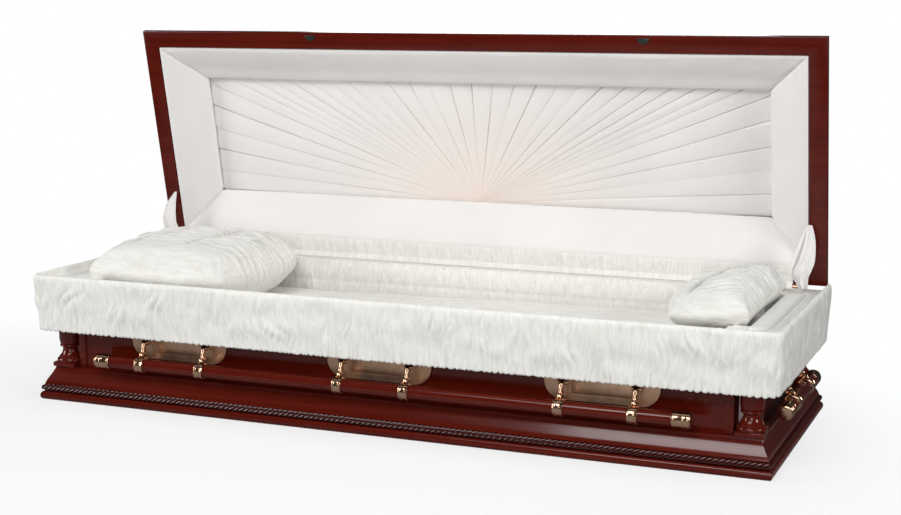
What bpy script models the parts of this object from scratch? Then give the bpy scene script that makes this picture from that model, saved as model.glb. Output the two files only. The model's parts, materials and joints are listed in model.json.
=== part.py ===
"""A full-couch funeral casket with its lid raised, in metres, +Z up.

The origin is the middle of the underside. The head end is at -X, the foot end at +X, the
front at -Y and the hinges at +Y. Pieces that touch keep GAP between them.
"""

import math

import bmesh
import bpy
from mathutils import Euler, Matrix, Vector

GAP = 0.0003

# The box: every other outline is set out from it
BOX_LENGTH = 2.020
BOX_WIDTH = 0.640
WALL = 0.020
BOTTOM_BOARD = 0.015
NOTCH = 0.052
STILE_WIDTH = 0.022
STILE_PROUD = 0.006

# Base moulding and the rope let into it
BASE_PROJECTION = 0.055
BASE_LENGTH = BOX_LENGTH + 2 * BASE_PROJECTION
BASE_WIDTH = BOX_WIDTH + 2 * BASE_PROJECTION
BASE_HEIGHT = 0.094
BASE_LEDGE = 0.020
BULLNOSE_HEIGHT = 0.0228
ROPE_RADIUS = 0.0105
ROPE_PITCH = 0.0156
ROPE_SETBACK = 0.003

# Rim of the box and rim of the lid share one outline
RIM_OVER_END = 0.055
RIM_OVER_SIDE = 0.035
RIM_LENGTH = BOX_LENGTH + 2 * RIM_OVER_END
RIM_WIDTH = BOX_WIDTH + 2 * RIM_OVER_SIDE
RIM_TOP = 0.345
RIM_THICKNESS = 0.025
EDGE_MARGIN = 0.002

# Corner columns
COLUMN_INSET = 0.010
COLUMN_RADIUS = 0.034
COLUMN_PLINTH = 0.002
PLINTH_HEIGHT = 0.0125

# Lining, bed and pillows
LINING = 0.015
REAR_STRIP = 0.0035
STRIP_SHORT = 0.004
BED_ROOM = 0.003
BED_LENGTH = BOX_LENGTH - 2 * (WALL + LINING + NOTCH + BED_ROOM)
BED_WIDTH = BOX_WIDTH - 2 * (WALL + LINING + BED_ROOM)
BED_TOP_HEAD = RIM_TOP - 0.093
BED_TOP_FOOT = RIM_TOP - 0.059
BED_SHOULDER = 0.012
BED_CROWN = 0.004
PILLOW_ROOM = 0.006
HEAD_PILLOW_LENGTH = 0.520
HEAD_PILLOW_HEIGHT = 0.190
HEAD_PILLOW_SIDE = 0.010
HEAD_PILLOW_EDGE = 0.50
HEAD_PILLOW_TILT = 1.5
FOOT_PILLOW_LENGTH = 0.285
FOOT_PILLOW_HEIGHT = 0.130
FOOT_PILLOW_SIDE = 0.015
FOOT_PILLOW_EDGE = 0.45
FOOT_PILLOW_TILT = 7.0
PILLOW_ROUND = 0.30
PILLOW_GIRTH = 0.10

# Overlay skirt
SKIRT_OUT_END = 0.020
SKIRT_OUT_SIDE = 0.033
SKIRT_LENGTH = RIM_LENGTH + 2 * SKIRT_OUT_END
SKIRT_WIDTH = RIM_WIDTH + 2 * SKIRT_OUT_SIDE
SKIRT_HEM = RIM_TOP - 0.147
SKIRT_CROWN = 0.022
SKIRT_ROLL = 0.0165
SKIRT_CORNER = 0.040
SKIRT_CLOTH = 0.005
SKIRT_GATHER = 0.100
SKIRT_PULL = 0.003
SKIRT_INNER = 0.034
SKIRT_REAR_END = RIM_WIDTH / 2 - 0.015

# Lid, drawn shut and then raised about the hinge pin
LID_GAP = 0.0085
LID_OPEN = 78.2
LID_FRAME = 0.050
LID_RIM_HEIGHT = 0.030
LID_HEIGHT = 0.185
LID_SHELL = 0.014
LID_STEP = 0.015
BORDER_WIDTH = 0.118
BORDER_DEPTH = 0.090
PANEL_THICKNESS = 0.010
PLEATS = 36
PLEAT_RISE = 0.006
BURST_EYE = 0.030
BURST_UP = 0.016
CATCH_RADIUS = 0.017
CATCH_THICKNESS = 0.002
CATCH_INSET = 0.008
CATCH_PLACES = {"catch_head": -0.475, "catch_foot": 0.560}

# Hinge
PIN_RADIUS = 0.004
LEAF = 0.0015
LEAF_HEIGHT = 0.013
LEAF_CLEAR = 0.001
HINGE_LENGTH = RIM_LENGTH - 0.150
KNUCKLES = 9

# Swinging handles
PLATE_LENGTH = 0.306
PLATE_WIDTH = 0.100
PLATE_BEAD = 0.007
PLATE_FIELD = 0.0035
PLATE_SPACING = 0.620
PIVOT_HEIGHT = BASE_HEIGHT + 0.096
PIVOT_OUT = 0.025
BAR_DROP = 0.0595
BAR_SWELL = 0.027
BAR_RADIUS = 0.018
SIDE_BAR = 1.732
END_BAR = 0.420
CAP_LENGTH = 0.049
CAP_RADIUS = 0.0205
CAP_GROOVE = 0.002
ARM_SPREAD = PLATE_LENGTH / 2 - 0.056
ARM_THICKNESS = 0.008
BARREL_RADIUS = 0.006
BARREL_LENGTH = 0.016
EAR = 0.004
COLLAR_LENGTH = 0.022
COLLAR_WALL = 0.0035

# Gussets over the lid stays
GUSSET_X = RIM_LENGTH / 2 - 0.043
GUSSET_WIDTH = 0.040
GUSSET_REACH = 0.190
GUSSET_CLOTH = 0.008
GUSSET_FULL = 0.028
GUSSET_LEAN = 0.018

HINGE_Y = RIM_WIDTH / 2 + LEAF + PIN_RADIUS - LEAF / 2
HINGE_Z = RIM_TOP + LID_GAP / 2
LID_Z = RIM_TOP + LID_GAP - HINGE_Z

MATERIALS = {
    "stained_wood": ((0.100, 0.012, 0.008), 0.18, 0.0),
    "carved_wood": ((0.060, 0.009, 0.006), 0.25, 0.0),
    "crepe": ((0.80, 0.79, 0.76), 0.85, 0.0),
    "satin": ((0.84, 0.82, 0.80), 0.60, 0.0),
    "copper": ((0.60, 0.32, 0.20), 0.20, 1.0),
    "dark_metal": ((0.05, 0.06, 0.06), 0.35, 1.0),
}


def clear_scene():
    for obj in list(bpy.data.objects):
        bpy.data.objects.remove(obj)


def make_collection(name):
    collection = bpy.data.collections.new(name)
    bpy.context.scene.collection.children.link(collection)
    return collection


def make_material(name):
    colour, roughness, metallic = MATERIALS[name]
    material = bpy.data.materials.new(name)
    material.use_nodes = True
    shader = material.node_tree.nodes["Principled BSDF"]
    shader.inputs["Base Color"].default_value = (*colour, 1.0)
    shader.inputs["Roughness"].default_value = roughness
    shader.inputs["Metallic"].default_value = metallic
    return material


def material(name):
    return bpy.data.materials.get(name) or make_material(name)


def mesh_from(bm, name):
    bmesh.ops.recalc_face_normals(bm, faces=bm.faces)
    mesh = bpy.data.meshes.new(name)
    bm.to_mesh(mesh)
    bm.free()
    return mesh


def add_piece(name, mesh, finish, parent=None, smooth=False, place=None):
    obj = bpy.data.objects.new(name, mesh)
    bpy.data.collections["funeral_casket"].objects.link(obj)
    if not mesh.materials:
        mesh.materials.append(material(finish))
    if smooth:
        mesh.shade_smooth()
        mesh.set_sharp_from_angle(angle=math.radians(35))
    if parent:
        obj.parent = parent
    if place:
        obj.location = place
    return obj


def add_axis(name, location, rotation=(0.0, 0.0, 0.0)):
    axis = bpy.data.objects.new(name, None)
    axis.empty_display_size = 0.05
    axis.location = location
    axis.rotation_euler = rotation
    bpy.data.collections["funeral_casket"].objects.link(axis)
    return axis


def add_box(bm, low, high):
    centre = (Vector(low) + Vector(high)) / 2
    size = Vector(high) - Vector(low)
    matrix = Matrix.Translation(centre) @ Matrix.Diagonal((*size, 1.0))
    return bmesh.ops.create_cube(bm, size=1.0, matrix=matrix)["verts"]


def box_mesh(name, *boxes):
    bm = bmesh.new()
    for low, high in boxes:
        add_box(bm, low, high)
    return mesh_from(bm, name)


def rod_along_x(bm, radius, length, centre, sides):
    matrix = Matrix.Translation(centre) @ Matrix.Rotation(math.pi / 2, 4, "Y")
    bmesh.ops.create_cone(
        bm, cap_ends=True, segments=sides, radius1=radius, radius2=radius, depth=length, matrix=matrix
    )


def loft_mesh(name, sections, ring=False):
    """Skin a row of closed sections that all have the same number of points."""
    bm = bmesh.new()
    loops = [[bm.verts.new(point) for point in section] for section in sections]
    pairs = list(zip(loops, loops[1:]))
    if ring:
        pairs.append((loops[-1], loops[0]))
    for first, second in pairs:
        for i, vert in enumerate(first):
            j = (i + 1) % len(first)
            bm.faces.new((vert, first[j], second[j], second[i]))
    if not ring:
        bm.faces.new(loops[0])
        bm.faces.new(loops[-1])
    return mesh_from(bm, name)


def mitred_frame(name, profile, length, width, end_scale=1.0):
    """Sweep a profile of (inset, height) round a rectangle with mitred corners."""
    sections = []
    for side_x, side_y in ((-1, -1), (1, -1), (1, 1), (-1, 1)):
        corner = []
        for inset, height in profile:
            x = side_x * (length / 2 - inset * end_scale)
            y = side_y * (width / 2 - inset)
            corner.append(Vector((x, y, height)))
        sections.append(corner)
    return loft_mesh(name, sections, ring=True)


def cutter(name, mesh):
    obj = bpy.data.objects.new(name, mesh)
    bpy.data.collections["cutters"].objects.link(obj)
    obj.hide_render = True
    obj.display_type = "WIRE"
    return obj


def boolean(obj, other, operation):
    modifier = obj.modifiers.new(f"{operation.lower()} {other.name}", "BOOLEAN")
    modifier.operation = operation
    modifier.object = other
    modifier.solver = "EXACT"


def fused_mesh(name, start, steps):
    """Join and cut plain meshes in turn and give back the one mesh that results."""
    body = bpy.data.objects.new(name, start)
    bpy.context.scene.collection.objects.link(body)
    tools = []
    for operation, mesh in steps:
        tool = bpy.data.objects.new(f"{name}_{len(tools)}", mesh)
        bpy.context.scene.collection.objects.link(tool)
        boolean(body, tool, operation)
        tools.append(tool)
    graph = bpy.context.evaluated_depsgraph_get()
    mesh = bpy.data.meshes.new_from_object(body.evaluated_get(graph))
    mesh.name = name
    for obj in (body, *tools):
        bpy.data.objects.remove(obj)
    return mesh


def turned_mesh(name, profile, sides):
    """Turn a profile of (radius, height), given top to bottom, about Z."""
    bm = bmesh.new()
    verts = [bm.verts.new((radius, 0.0, height)) for radius, height in profile]
    for first, second in zip(verts, verts[1:]):
        bm.edges.new((first, second))
    mesh = bpy.data.meshes.new(name)
    bm.to_mesh(mesh)
    bm.free()
    obj = bpy.data.objects.new(name, mesh)
    bpy.context.scene.collection.objects.link(obj)
    screw = obj.modifiers.new("turn", "SCREW")
    screw.steps = sides
    screw.render_steps = sides
    screw.use_merge_vertices = True
    screw.merge_threshold = 0.0001
    graph = bpy.context.evaluated_depsgraph_get()
    turned = bpy.data.meshes.new_from_object(obj.evaluated_get(graph))
    bpy.data.objects.remove(obj)
    bm = bmesh.new()
    bm.from_mesh(turned)
    bmesh.ops.remove_doubles(bm, verts=bm.verts, dist=0.00001)
    bmesh.ops.recalc_face_normals(bm, faces=bm.faces)
    bm.to_mesh(turned)
    bm.free()
    return turned


def make_base_moulding():
    depth = (BASE_WIDTH - BOX_WIDTH) / 2 - GAP
    channel = ROPE_SETBACK + 2 * ROPE_RADIUS + GAP
    channel_top = BULLNOSE_HEIGHT + 2 * ROPE_RADIUS + 2 * GAP
    flare = BASE_HEIGHT - channel_top
    top = BASE_PROJECTION - BASE_LEDGE
    profile = [
        (0.13 * BULLNOSE_HEIGHT, 0.0),
        (0.0, 0.35 * BULLNOSE_HEIGHT),
        (0.07 * BULLNOSE_HEIGHT, 0.75 * BULLNOSE_HEIGHT),
        (0.30 * BULLNOSE_HEIGHT, BULLNOSE_HEIGHT),
        (channel, BULLNOSE_HEIGHT),
        (channel, channel_top),
        (0.33 * top, channel_top),
        (0.37 * top, channel_top + 0.12 * flare),
        (0.51 * top, channel_top + 0.35 * flare),
        (0.76 * top, channel_top + 0.62 * flare),
        (0.94 * top, channel_top + 0.85 * flare),
        (top, BASE_HEIGHT),
        (depth, BASE_HEIGHT),
        (depth, 0.0),
    ]
    mesh = mitred_frame("base_moulding", profile, BASE_LENGTH, BASE_WIDTH)
    add_piece("base_moulding", mesh, "stained_wood")


def make_rope_moulding():
    """A three-lobed rope: one section for each strand, turned a third from the last."""
    reach = ROPE_SETBACK + ROPE_RADIUS
    half_x = BASE_LENGTH / 2 - reach
    half_y = BASE_WIDTH / 2 - reach
    height = BULLNOSE_HEIGHT + GAP + ROPE_RADIUS
    sections = []
    turn = 0.0
    sides = (
        ((-half_x, -half_y), (half_x, -half_y), (0, -1)),
        ((half_x, -half_y), (half_x, half_y), (1, 0)),
        ((half_x, half_y), (-half_x, half_y), (0, 1)),
        ((-half_x, half_y), (-half_x, -half_y), (-1, 0)),
    )
    for start, end, outward in sides:
        run = Vector(end) - Vector(start)
        strands = round(run.length / ROPE_PITCH)
        for strand in range(strands):
            base = Vector(start) + run * strand / strands
            if strand:
                out = Vector(outward)
            else:
                out = Vector((math.copysign(1, start[0]), math.copysign(1, start[1])))
            section = []
            for lobe in range(3):
                angle = turn + lobe * math.tau / 3
                across = base + out * ROPE_RADIUS * math.cos(angle)
                section.append(Vector((*across, height + ROPE_RADIUS * math.sin(angle))))
            sections.append(section)
            turn += math.tau / 3
    bm = bmesh.new()
    loops = [[bm.verts.new(point) for point in section] for section in sections]
    for first, second in zip(loops, loops[1:] + loops[:1]):
        for i in range(3):
            j = (i + 1) % 3
            bm.faces.new((first[i], first[j], second[i]))
            bm.faces.new((first[j], second[j], second[i]))
    add_piece("rope_moulding", mesh_from(bm, "rope_moulding"), "carved_wood")


def notched_prism(name, half_x, half_y, notch, low, high):
    """A block whose four upright corners are cut back square by notch."""
    outline = []
    for sx, sy in ((-1, -1), (1, -1), (1, 1), (-1, 1)):
        along_y = Vector((sx * half_x, sy * (half_y - notch)))
        inner = Vector((sx * (half_x - notch), sy * (half_y - notch)))
        along_x = Vector((sx * (half_x - notch), sy * half_y))
        corner = [along_y, inner, along_x]
        outline += corner if sx == sy else corner[::-1]
    return loft_mesh(name, [[Vector((*p, z)) for p in outline] for z in (low, high)])


def make_carcase():
    half_x = BOX_LENGTH / 2
    half_y = BOX_WIDTH / 2
    top = RIM_TOP - RIM_THICKNESS - GAP
    body = box_mesh("carcase", ((-half_x, -half_y, 0.0), (half_x, half_y, top)))
    cavity = notched_prism(
        "cavity", half_x - WALL, half_y - WALL, NOTCH, BOTTOM_BOARD, top + WALL
    )
    notches = []
    stiles = []
    above = BASE_HEIGHT
    for sx in (-1, 1):
        for sy in (-1, 1):
            inner = Vector((sx * (half_x - NOTCH), sy * (half_y - NOTCH)))
            outer = Vector((sx * (half_x + WALL), sy * (half_y + WALL)))
            notches.append(corners_of(inner, outer, above, top + WALL))
            first = inner - Vector((sx * STILE_WIDTH, sy * -(NOTCH - WALL / 2)))
            last = Vector((inner.x - sx * GAP, sy * (half_y + STILE_PROUD)))
            stiles.append(corners_of(first, last, above + 2 * GAP, top))
            first = inner - Vector((sx * -(NOTCH - WALL / 2), sy * STILE_WIDTH))
            last = Vector((sx * (half_x + STILE_PROUD), inner.y - sy * GAP))
            stiles.append(corners_of(first, last, above + 2 * GAP, top))
    carcase = add_piece("carcase", body, "stained_wood")
    boolean(carcase, cutter("carcase_cavity", cavity), "DIFFERENCE")
    boolean(carcase, cutter("carcase_notches", box_mesh("notches", *notches)), "DIFFERENCE")
    boolean(carcase, cutter("carcase_stiles", box_mesh("stiles", *stiles)), "UNION")


def corners_of(first, second, low, high):
    """The lowest and highest corner of the upright block between two plan points."""
    xs = sorted((first.x, second.x))
    ys = sorted((first.y, second.y))
    return (xs[0], ys[0], low), (xs[1], ys[1], high)


def make_columns():
    foot = BASE_HEIGHT + GAP
    head = RIM_TOP - RIM_THICKNESS - GAP
    radius = COLUMN_RADIUS
    half = radius + COLUMN_PLINTH
    lower = [
        (1.06 * radius, PLINTH_HEIGHT - COLUMN_PLINTH),
        (1.10 * radius, PLINTH_HEIGHT + 0.008),
        (0.95 * radius, PLINTH_HEIGHT + 0.020),
        (0.62 * radius, PLINTH_HEIGHT + 0.037),
        (0.66 * radius, PLINTH_HEIGHT + 0.046),
        (0.88 * radius, PLINTH_HEIGHT + 0.054),
    ]
    upper = [(r, head - foot - z) for r, z in lower]
    profile = [(0.0, upper[0][1]), *upper, *reversed(lower), (0.0, lower[0][1])]
    shaft = turned_mesh("column_shaft", profile, 12)
    plinths = box_mesh(
        "column_plinths",
        ((-half, -half, 0.0), (half, half, PLINTH_HEIGHT)),
        ((-half, -half, head - foot - PLINTH_HEIGHT), (half, half, head - foot)),
    )
    mesh = fused_mesh("column", shaft, [("UNION", plinths)])
    for y_name, sy in (("front", -1), ("rear", 1)):
        for x_name, sx in (("head", -1), ("foot", 1)):
            x = sx * (BOX_LENGTH / 2 - COLUMN_INSET)
            y = sy * (BOX_WIDTH / 2 - COLUMN_INSET)
            name = f"column_{y_name}_{x_name}"
            add_piece(name, mesh, "stained_wood", smooth=True, place=(x, y, foot))


def make_rim_rail():
    depth = (RIM_WIDTH - BOX_WIDTH) / 2 + WALL
    end_depth = (RIM_LENGTH - BOX_LENGTH) / 2 + WALL
    low = RIM_TOP - RIM_THICKNESS
    profile = [
        (depth, low),
        (0.55 * depth, low),
        (0.40 * depth, low + 0.30 * RIM_THICKNESS),
        (0.05 * depth, low + 0.40 * RIM_THICKNESS),
        (0.0, low + 0.46 * RIM_THICKNESS),
        (0.0, RIM_TOP - 0.05 * RIM_THICKNESS),
        (0.06 * RIM_THICKNESS, RIM_TOP),
        (depth, RIM_TOP),
    ]
    mesh = mitred_frame("rim_rail", profile, RIM_LENGTH, RIM_WIDTH, end_depth / depth)
    add_piece("rim_rail", mesh, "stained_wood")


def make_interior_lining():
    half_x = BOX_LENGTH / 2 - WALL - GAP
    half_y = BOX_WIDTH / 2 - WALL - GAP
    low = BOTTOM_BOARD + GAP
    high = RIM_TOP
    body = notched_prism("interior_lining", half_x, half_y, NOTCH, low, high)
    space = notched_prism(
        "lining_space", half_x - LINING, half_y - LINING, NOTCH, low - LINING, high + LINING
    )
    strip_half = half_x - LINING - STRIP_SHORT
    strip_top = RIM_TOP + GAP + REAR_STRIP
    root = box_mesh(
        "strip_root",
        ((-strip_half, half_y - LINING, RIM_TOP - STRIP_SHORT), (strip_half, half_y - GAP, strip_top)),
    )
    strip = box_mesh(
        "strip",
        ((-strip_half, half_y - LINING, RIM_TOP + GAP), (strip_half, RIM_WIDTH / 2 - EDGE_MARGIN, strip_top)),
    )
    steps = [("DIFFERENCE", space), ("UNION", root), ("UNION", strip)]
    add_piece("interior_lining", fused_mesh("interior_lining", body, steps), "crepe")


def skirt_path():
    """(x, y, outward angle) along the head end, the front and the foot end, with round corners."""
    half_x = SKIRT_LENGTH / 2
    half_y = SKIRT_WIDTH / 2
    stations = []
    end_run = SKIRT_REAR_END + half_y - SKIRT_CORNER
    end_steps = max(2, round(end_run / SKIRT_GATHER))
    for i in range(end_steps):
        stations.append((-half_x, SKIRT_REAR_END - end_run * i / end_steps, math.pi))
    for i in range(4):
        stations.append((-half_x, -half_y, math.pi + math.pi / 2 * i / 3))
    front_run = 2 * (half_x - SKIRT_CORNER)
    front_steps = round(front_run / SKIRT_GATHER)
    for i in range(1, front_steps):
        x = -half_x + SKIRT_CORNER + front_run * i / front_steps
        stations.append((x, -half_y, 1.5 * math.pi))
    for i in range(4):
        stations.append((half_x, -half_y, 1.5 * math.pi + math.pi / 2 * i / 3))
    for i in range(1, end_steps + 1):
        y = -half_y + SKIRT_CORNER + end_run * i / end_steps
        stations.append((half_x, y, math.tau))
    return stations


def skirt_point(station, inset, height):
    x, y, angle = station
    out = Vector((math.cos(angle), math.sin(angle)))
    corner_x = math.copysign(SKIRT_LENGTH / 2, x)
    if abs(y) == SKIRT_WIDTH / 2 and abs(x) == SKIRT_LENGTH / 2:
        held = max(SKIRT_CORNER, inset + SKIRT_PULL)
        centre = Vector((corner_x - math.copysign(held, x), y + held))
        place = centre + out * (held - inset)
    else:
        place = Vector((x, y)) - out * inset
    return Vector((place.x, place.y, height))


def make_overlay_skirt():
    """The cloth lies flat on the rim, rolls over its edge and hangs in soft gathers."""
    laid = RIM_TOP + GAP
    on_rim = laid + SKIRT_CLOTH
    crown = RIM_TOP + SKIRT_CROWN
    inner = (SKIRT_WIDTH - BOX_WIDTH) / 2 + SKIRT_INNER
    roll = SKIRT_ROLL
    sections = []
    for number, station in enumerate(skirt_path()):
        pull = 0.0 if number % 2 else SKIRT_PULL
        profile = [
            (inner, laid),
            (inner, on_rim),
            (roll, on_rim),
            (0.70 * roll, crown - 0.12 * roll),
            (0.35 * roll, crown),
            (pull, crown - roll),
            (1.3 * pull, (crown + SKIRT_HEM) / 2),
            (SKIRT_PULL, SKIRT_HEM),
            (SKIRT_PULL + 2 * SKIRT_CLOTH, SKIRT_HEM),
            (2 * SKIRT_PULL + SKIRT_CLOTH, laid),
        ]
        sections.append([skirt_point(station, inset, height) for inset, height in profile])
    mesh = loft_mesh("overlay_skirt", sections)
    add_piece("overlay_skirt", mesh, "crepe", smooth=True)


def bed_top(x):
    share = x / BED_LENGTH + 0.5
    return BED_TOP_HEAD + (BED_TOP_FOOT - BED_TOP_HEAD) * share


def make_mattress():
    half_x = BED_LENGTH / 2
    half_y = BED_WIDTH / 2
    low = BOTTOM_BOARD + GAP
    shoulder = BED_SHOULDER
    sections = []
    count = 10
    for i in range(count + 1):
        x = -half_x + BED_LENGTH * i / count
        drop = shoulder if i in (0, count) else 0.0
        top = bed_top(x) - drop
        row = [
            (-half_y, low),
            (-half_y, top - shoulder),
            (-half_y + 2 * shoulder, top),
            (0.0, top + (BED_CROWN if i % 2 else 0.0)),
            (half_y - 2 * shoulder, top),
            (half_y, top - shoulder),
            (half_y, low),
        ]
        sections.append([Vector((x, y, z)) for y, z in row])
    mesh = loft_mesh("mattress", sections)
    add_piece("mattress", mesh, "crepe", smooth=True)


def pillow_mesh(name, length, width, height, edge):
    """A crowned pillow with a full edge and rounded corners."""
    bm = bmesh.new()
    bmesh.ops.create_cube(bm, size=2.0)
    bmesh.ops.subdivide_edges(bm, edges=bm.edges[:], cuts=3, use_grid_fill=True)
    for vert in bm.verts:
        a, b, c = vert.co
        fullness = edge + (1 - edge) * math.sqrt((1 - a**4) * (1 - b**4))
        girth = 1 - PILLOW_GIRTH * c * c
        x = a * girth * math.sqrt(1 - PILLOW_ROUND * b * b)
        y = b * girth * math.sqrt(1 - PILLOW_ROUND * a * a)
        vert.co = (x * length / 2, y * width / 2, c * fullness * height / 2)
    return mesh_from(bm, name)


def make_pillows():
    """The head pillow lies on the bed; the foot pillow leans up against the end wall."""
    inside = BOX_LENGTH / 2 - WALL - LINING - PILLOW_ROOM
    half = HEAD_PILLOW_LENGTH / 2
    width = BOX_WIDTH - 2 * (WALL + LINING + HEAD_PILLOW_SIDE)
    mesh = pillow_mesh("head_pillow", 2 * half, width, HEAD_PILLOW_HEIGHT, HEAD_PILLOW_EDGE)
    head = add_piece("head_pillow", mesh, "crepe", smooth=True)
    base = bed_top(HEAD_PILLOW_LENGTH - inside)
    head.location = (half - inside, 0.0, base + HEAD_PILLOW_HEIGHT / 2)
    head.rotation_euler = Euler((0.0, math.radians(HEAD_PILLOW_TILT), 0.0))
    half = FOOT_PILLOW_LENGTH / 2
    width = BOX_WIDTH - 2 * (WALL + LINING + FOOT_PILLOW_SIDE)
    mesh = pillow_mesh("foot_pillow", 2 * half, width, FOOT_PILLOW_HEIGHT, FOOT_PILLOW_EDGE)
    foot = add_piece("foot_pillow", mesh, "crepe", smooth=True)
    tilt = math.radians(FOOT_PILLOW_TILT)
    lift = half * math.sin(tilt) + FOOT_PILLOW_HEIGHT / 2
    foot.location = (inside - half, 0.0, bed_top(inside) + lift)
    foot.rotation_euler = Euler((0.0, -tilt, 0.0))


def lid_mesh(mesh):
    """Move a lid mesh, drawn about the middle of the rim at height 0, onto the hinge pin."""
    mesh.transform(Matrix.Translation((0.0, -HINGE_Y, LID_Z)))
    return mesh


def make_lid_rim(axis):
    profile = [
        (LID_FRAME, 0.0),
        (0.05 * LID_RIM_HEIGHT, 0.0),
        (0.0, 0.04 * LID_RIM_HEIGHT),
        (0.0, 0.55 * LID_RIM_HEIGHT),
        (0.27 * LID_STEP, 0.68 * LID_RIM_HEIGHT),
        (0.60 * LID_STEP, 0.74 * LID_RIM_HEIGHT),
        (0.80 * LID_STEP, LID_RIM_HEIGHT),
        (LID_FRAME, LID_RIM_HEIGHT),
    ]
    mesh = lid_mesh(mitred_frame("lid_rim", profile, RIM_LENGTH, RIM_WIDTH))
    add_piece("lid_rim", mesh, "stained_wood", parent=axis)


def make_lid_crown(axis):
    """An open moulded shell: each step of the profile is a smaller rectangle, then a flat top."""
    low = LID_RIM_HEIGHT + GAP
    rise = LID_HEIGHT - low
    across = LID_FRAME + BORDER_WIDTH - LID_STEP
    profile = [
        (LID_STEP, low),
        (LID_STEP, low + 0.05 * rise),
        (LID_STEP + 0.06 * across, low + 0.16 * rise),
        (LID_STEP + 0.19 * across, low + 0.26 * rise),
        (LID_STEP + 0.45 * across, low + 0.44 * rise),
        (LID_STEP + 0.71 * across, low + 0.76 * rise),
        (LID_STEP + 0.93 * across, low + 0.96 * rise),
        (LID_STEP + 1.06 * across, low + rise),
    ]
    bm = bmesh.new()
    rings = []
    for inset, height in profile:
        x = RIM_LENGTH / 2 - inset
        y = RIM_WIDTH / 2 - inset
        ring = ((-x, -y), (x, -y), (x, y), (-x, y))
        rings.append([bm.verts.new((*corner, height)) for corner in ring])
    for first, second in zip(rings, rings[1:]):
        for i in range(4):
            j = (i + 1) % 4
            bm.faces.new((first[i], first[j], second[j], second[i]))
    bm.faces.new(rings[-1])
    mesh = lid_mesh(mesh_from(bm, "lid_crown"))
    crown = add_piece("lid_crown", mesh, "stained_wood", parent=axis)
    shell = crown.modifiers.new("shell", "SOLIDIFY")
    shell.thickness = LID_SHELL
    shell.offset = -1.0
    shell.use_even_offset = True


def make_lid_border(axis):
    """The padded border falls from the frame to a rolled lip that stands over the panel."""
    depth = BORDER_DEPTH
    start = LID_FRAME + 2 * GAP
    across = BORDER_WIDTH
    profile = [
        (start, 0.02 * depth),
        (start + 0.12 * across, 0.05 * depth),
        (start + 0.40 * across, 0.28 * depth),
        (start + 0.70 * across, 0.58 * depth),
        (start + 0.92 * across, 0.76 * depth),
        (start + across, 0.88 * depth),
        (start + 0.97 * across, depth),
        (start + 0.75 * across, depth),
        (start + 0.30 * across, 0.55 * depth),
        (start, 0.26 * depth),
    ]
    mesh = lid_mesh(mitred_frame("lid_border", profile, RIM_LENGTH, RIM_WIDTH))
    add_piece("lid_border", mesh, "satin", parent=axis, smooth=True)


def burst_edge(half_x, low, high, run):
    """The point at a run along the panel's other three edges, from the foot end to the head end."""
    rise = high - low
    if run <= rise:
        return Vector((half_x, high - run))
    if run <= rise + 2 * half_x:
        return Vector((half_x - (run - rise), low))
    return Vector((-half_x, low + run - rise - 2 * half_x))


def make_sunburst_panel(axis):
    """Pleats fan out from the middle of the hinge side, evenly spaced along the other edges."""
    inset = LID_FRAME + 2 * GAP + 0.80 * BORDER_WIDTH
    half_x = RIM_LENGTH / 2 - inset
    half_y = RIM_WIDTH / 2 - inset
    front = BORDER_DEPTH + GAP
    back = front + PANEL_THICKNESS
    centre = Vector((0.0, half_y - BURST_UP))
    steps = 2 * PLEATS
    length = 2 * (centre.y + half_y) + 2 * half_x
    bm = bmesh.new()
    rows = []
    for i in range(steps + 1):
        far = burst_edge(half_x, -half_y, centre.y, length * i / steps)
        near = centre + (far - centre).normalized() * BURST_EYE
        ridge = front + (0.0 if i % 2 == 0 else PLEAT_RISE)
        inner = bm.verts.new((*near, front + 0.5 * PLEAT_RISE))
        outer = bm.verts.new((*far, ridge))
        outer_back = bm.verts.new((*far, back))
        inner_back = bm.verts.new((*near, back))
        rows.append((inner, outer, outer_back, inner_back))
    for first, second in zip(rows, rows[1:]):
        for i in range(3):
            bm.faces.new((first[i], first[i + 1], second[i + 1], second[i]))
    left, right = rows[-1], rows[0]
    places = [(sx * half_x, half_y, z) for sx in (-1, 1) for z in (front + 0.3 * PLEAT_RISE, back)]
    base = [bm.verts.new(place) for place in places]
    near_fronts = [row[0] for row in rows]
    near_backs = [row[3] for row in rows]
    bm.faces.new([left[1], base[0], base[2], right[1], *near_fronts])
    bm.faces.new([left[2], *reversed(near_backs), right[2], base[3], base[1]])
    bm.faces.new((left[1], left[2], base[1], base[0]))
    bm.faces.new((base[0], base[1], base[3], base[2]))
    bm.faces.new((base[2], base[3], right[2], right[1]))
    bmesh.ops.triangulate(bm, faces=bm.faces[:])
    mesh = lid_mesh(mesh_from(bm, "sunburst_panel"))
    add_piece("sunburst_panel", mesh, "satin", parent=axis)


def make_rail_shirring(axis):
    half_x = BOX_LENGTH / 2 - WALL - LINING - STRIP_SHORT
    edge = RIM_WIDTH / 2 - EDGE_MARGIN
    inner = RIM_WIDTH / 2 - LID_FRAME + 0.0005
    count = 44
    sections = []
    for i in range(count + 1):
        x = -half_x + 2 * half_x * i / count
        thick = REAR_STRIP - (0.001 if i % 2 else 0.0)
        row = [(edge, -GAP), (edge, -thick), (inner, -thick), (inner, -GAP)]
        sections.append([Vector((x, y, z)) for y, z in row])
    mesh = lid_mesh(loft_mesh("rail_shirring", sections))
    add_piece("rail_shirring", mesh, "crepe", parent=axis)


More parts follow.
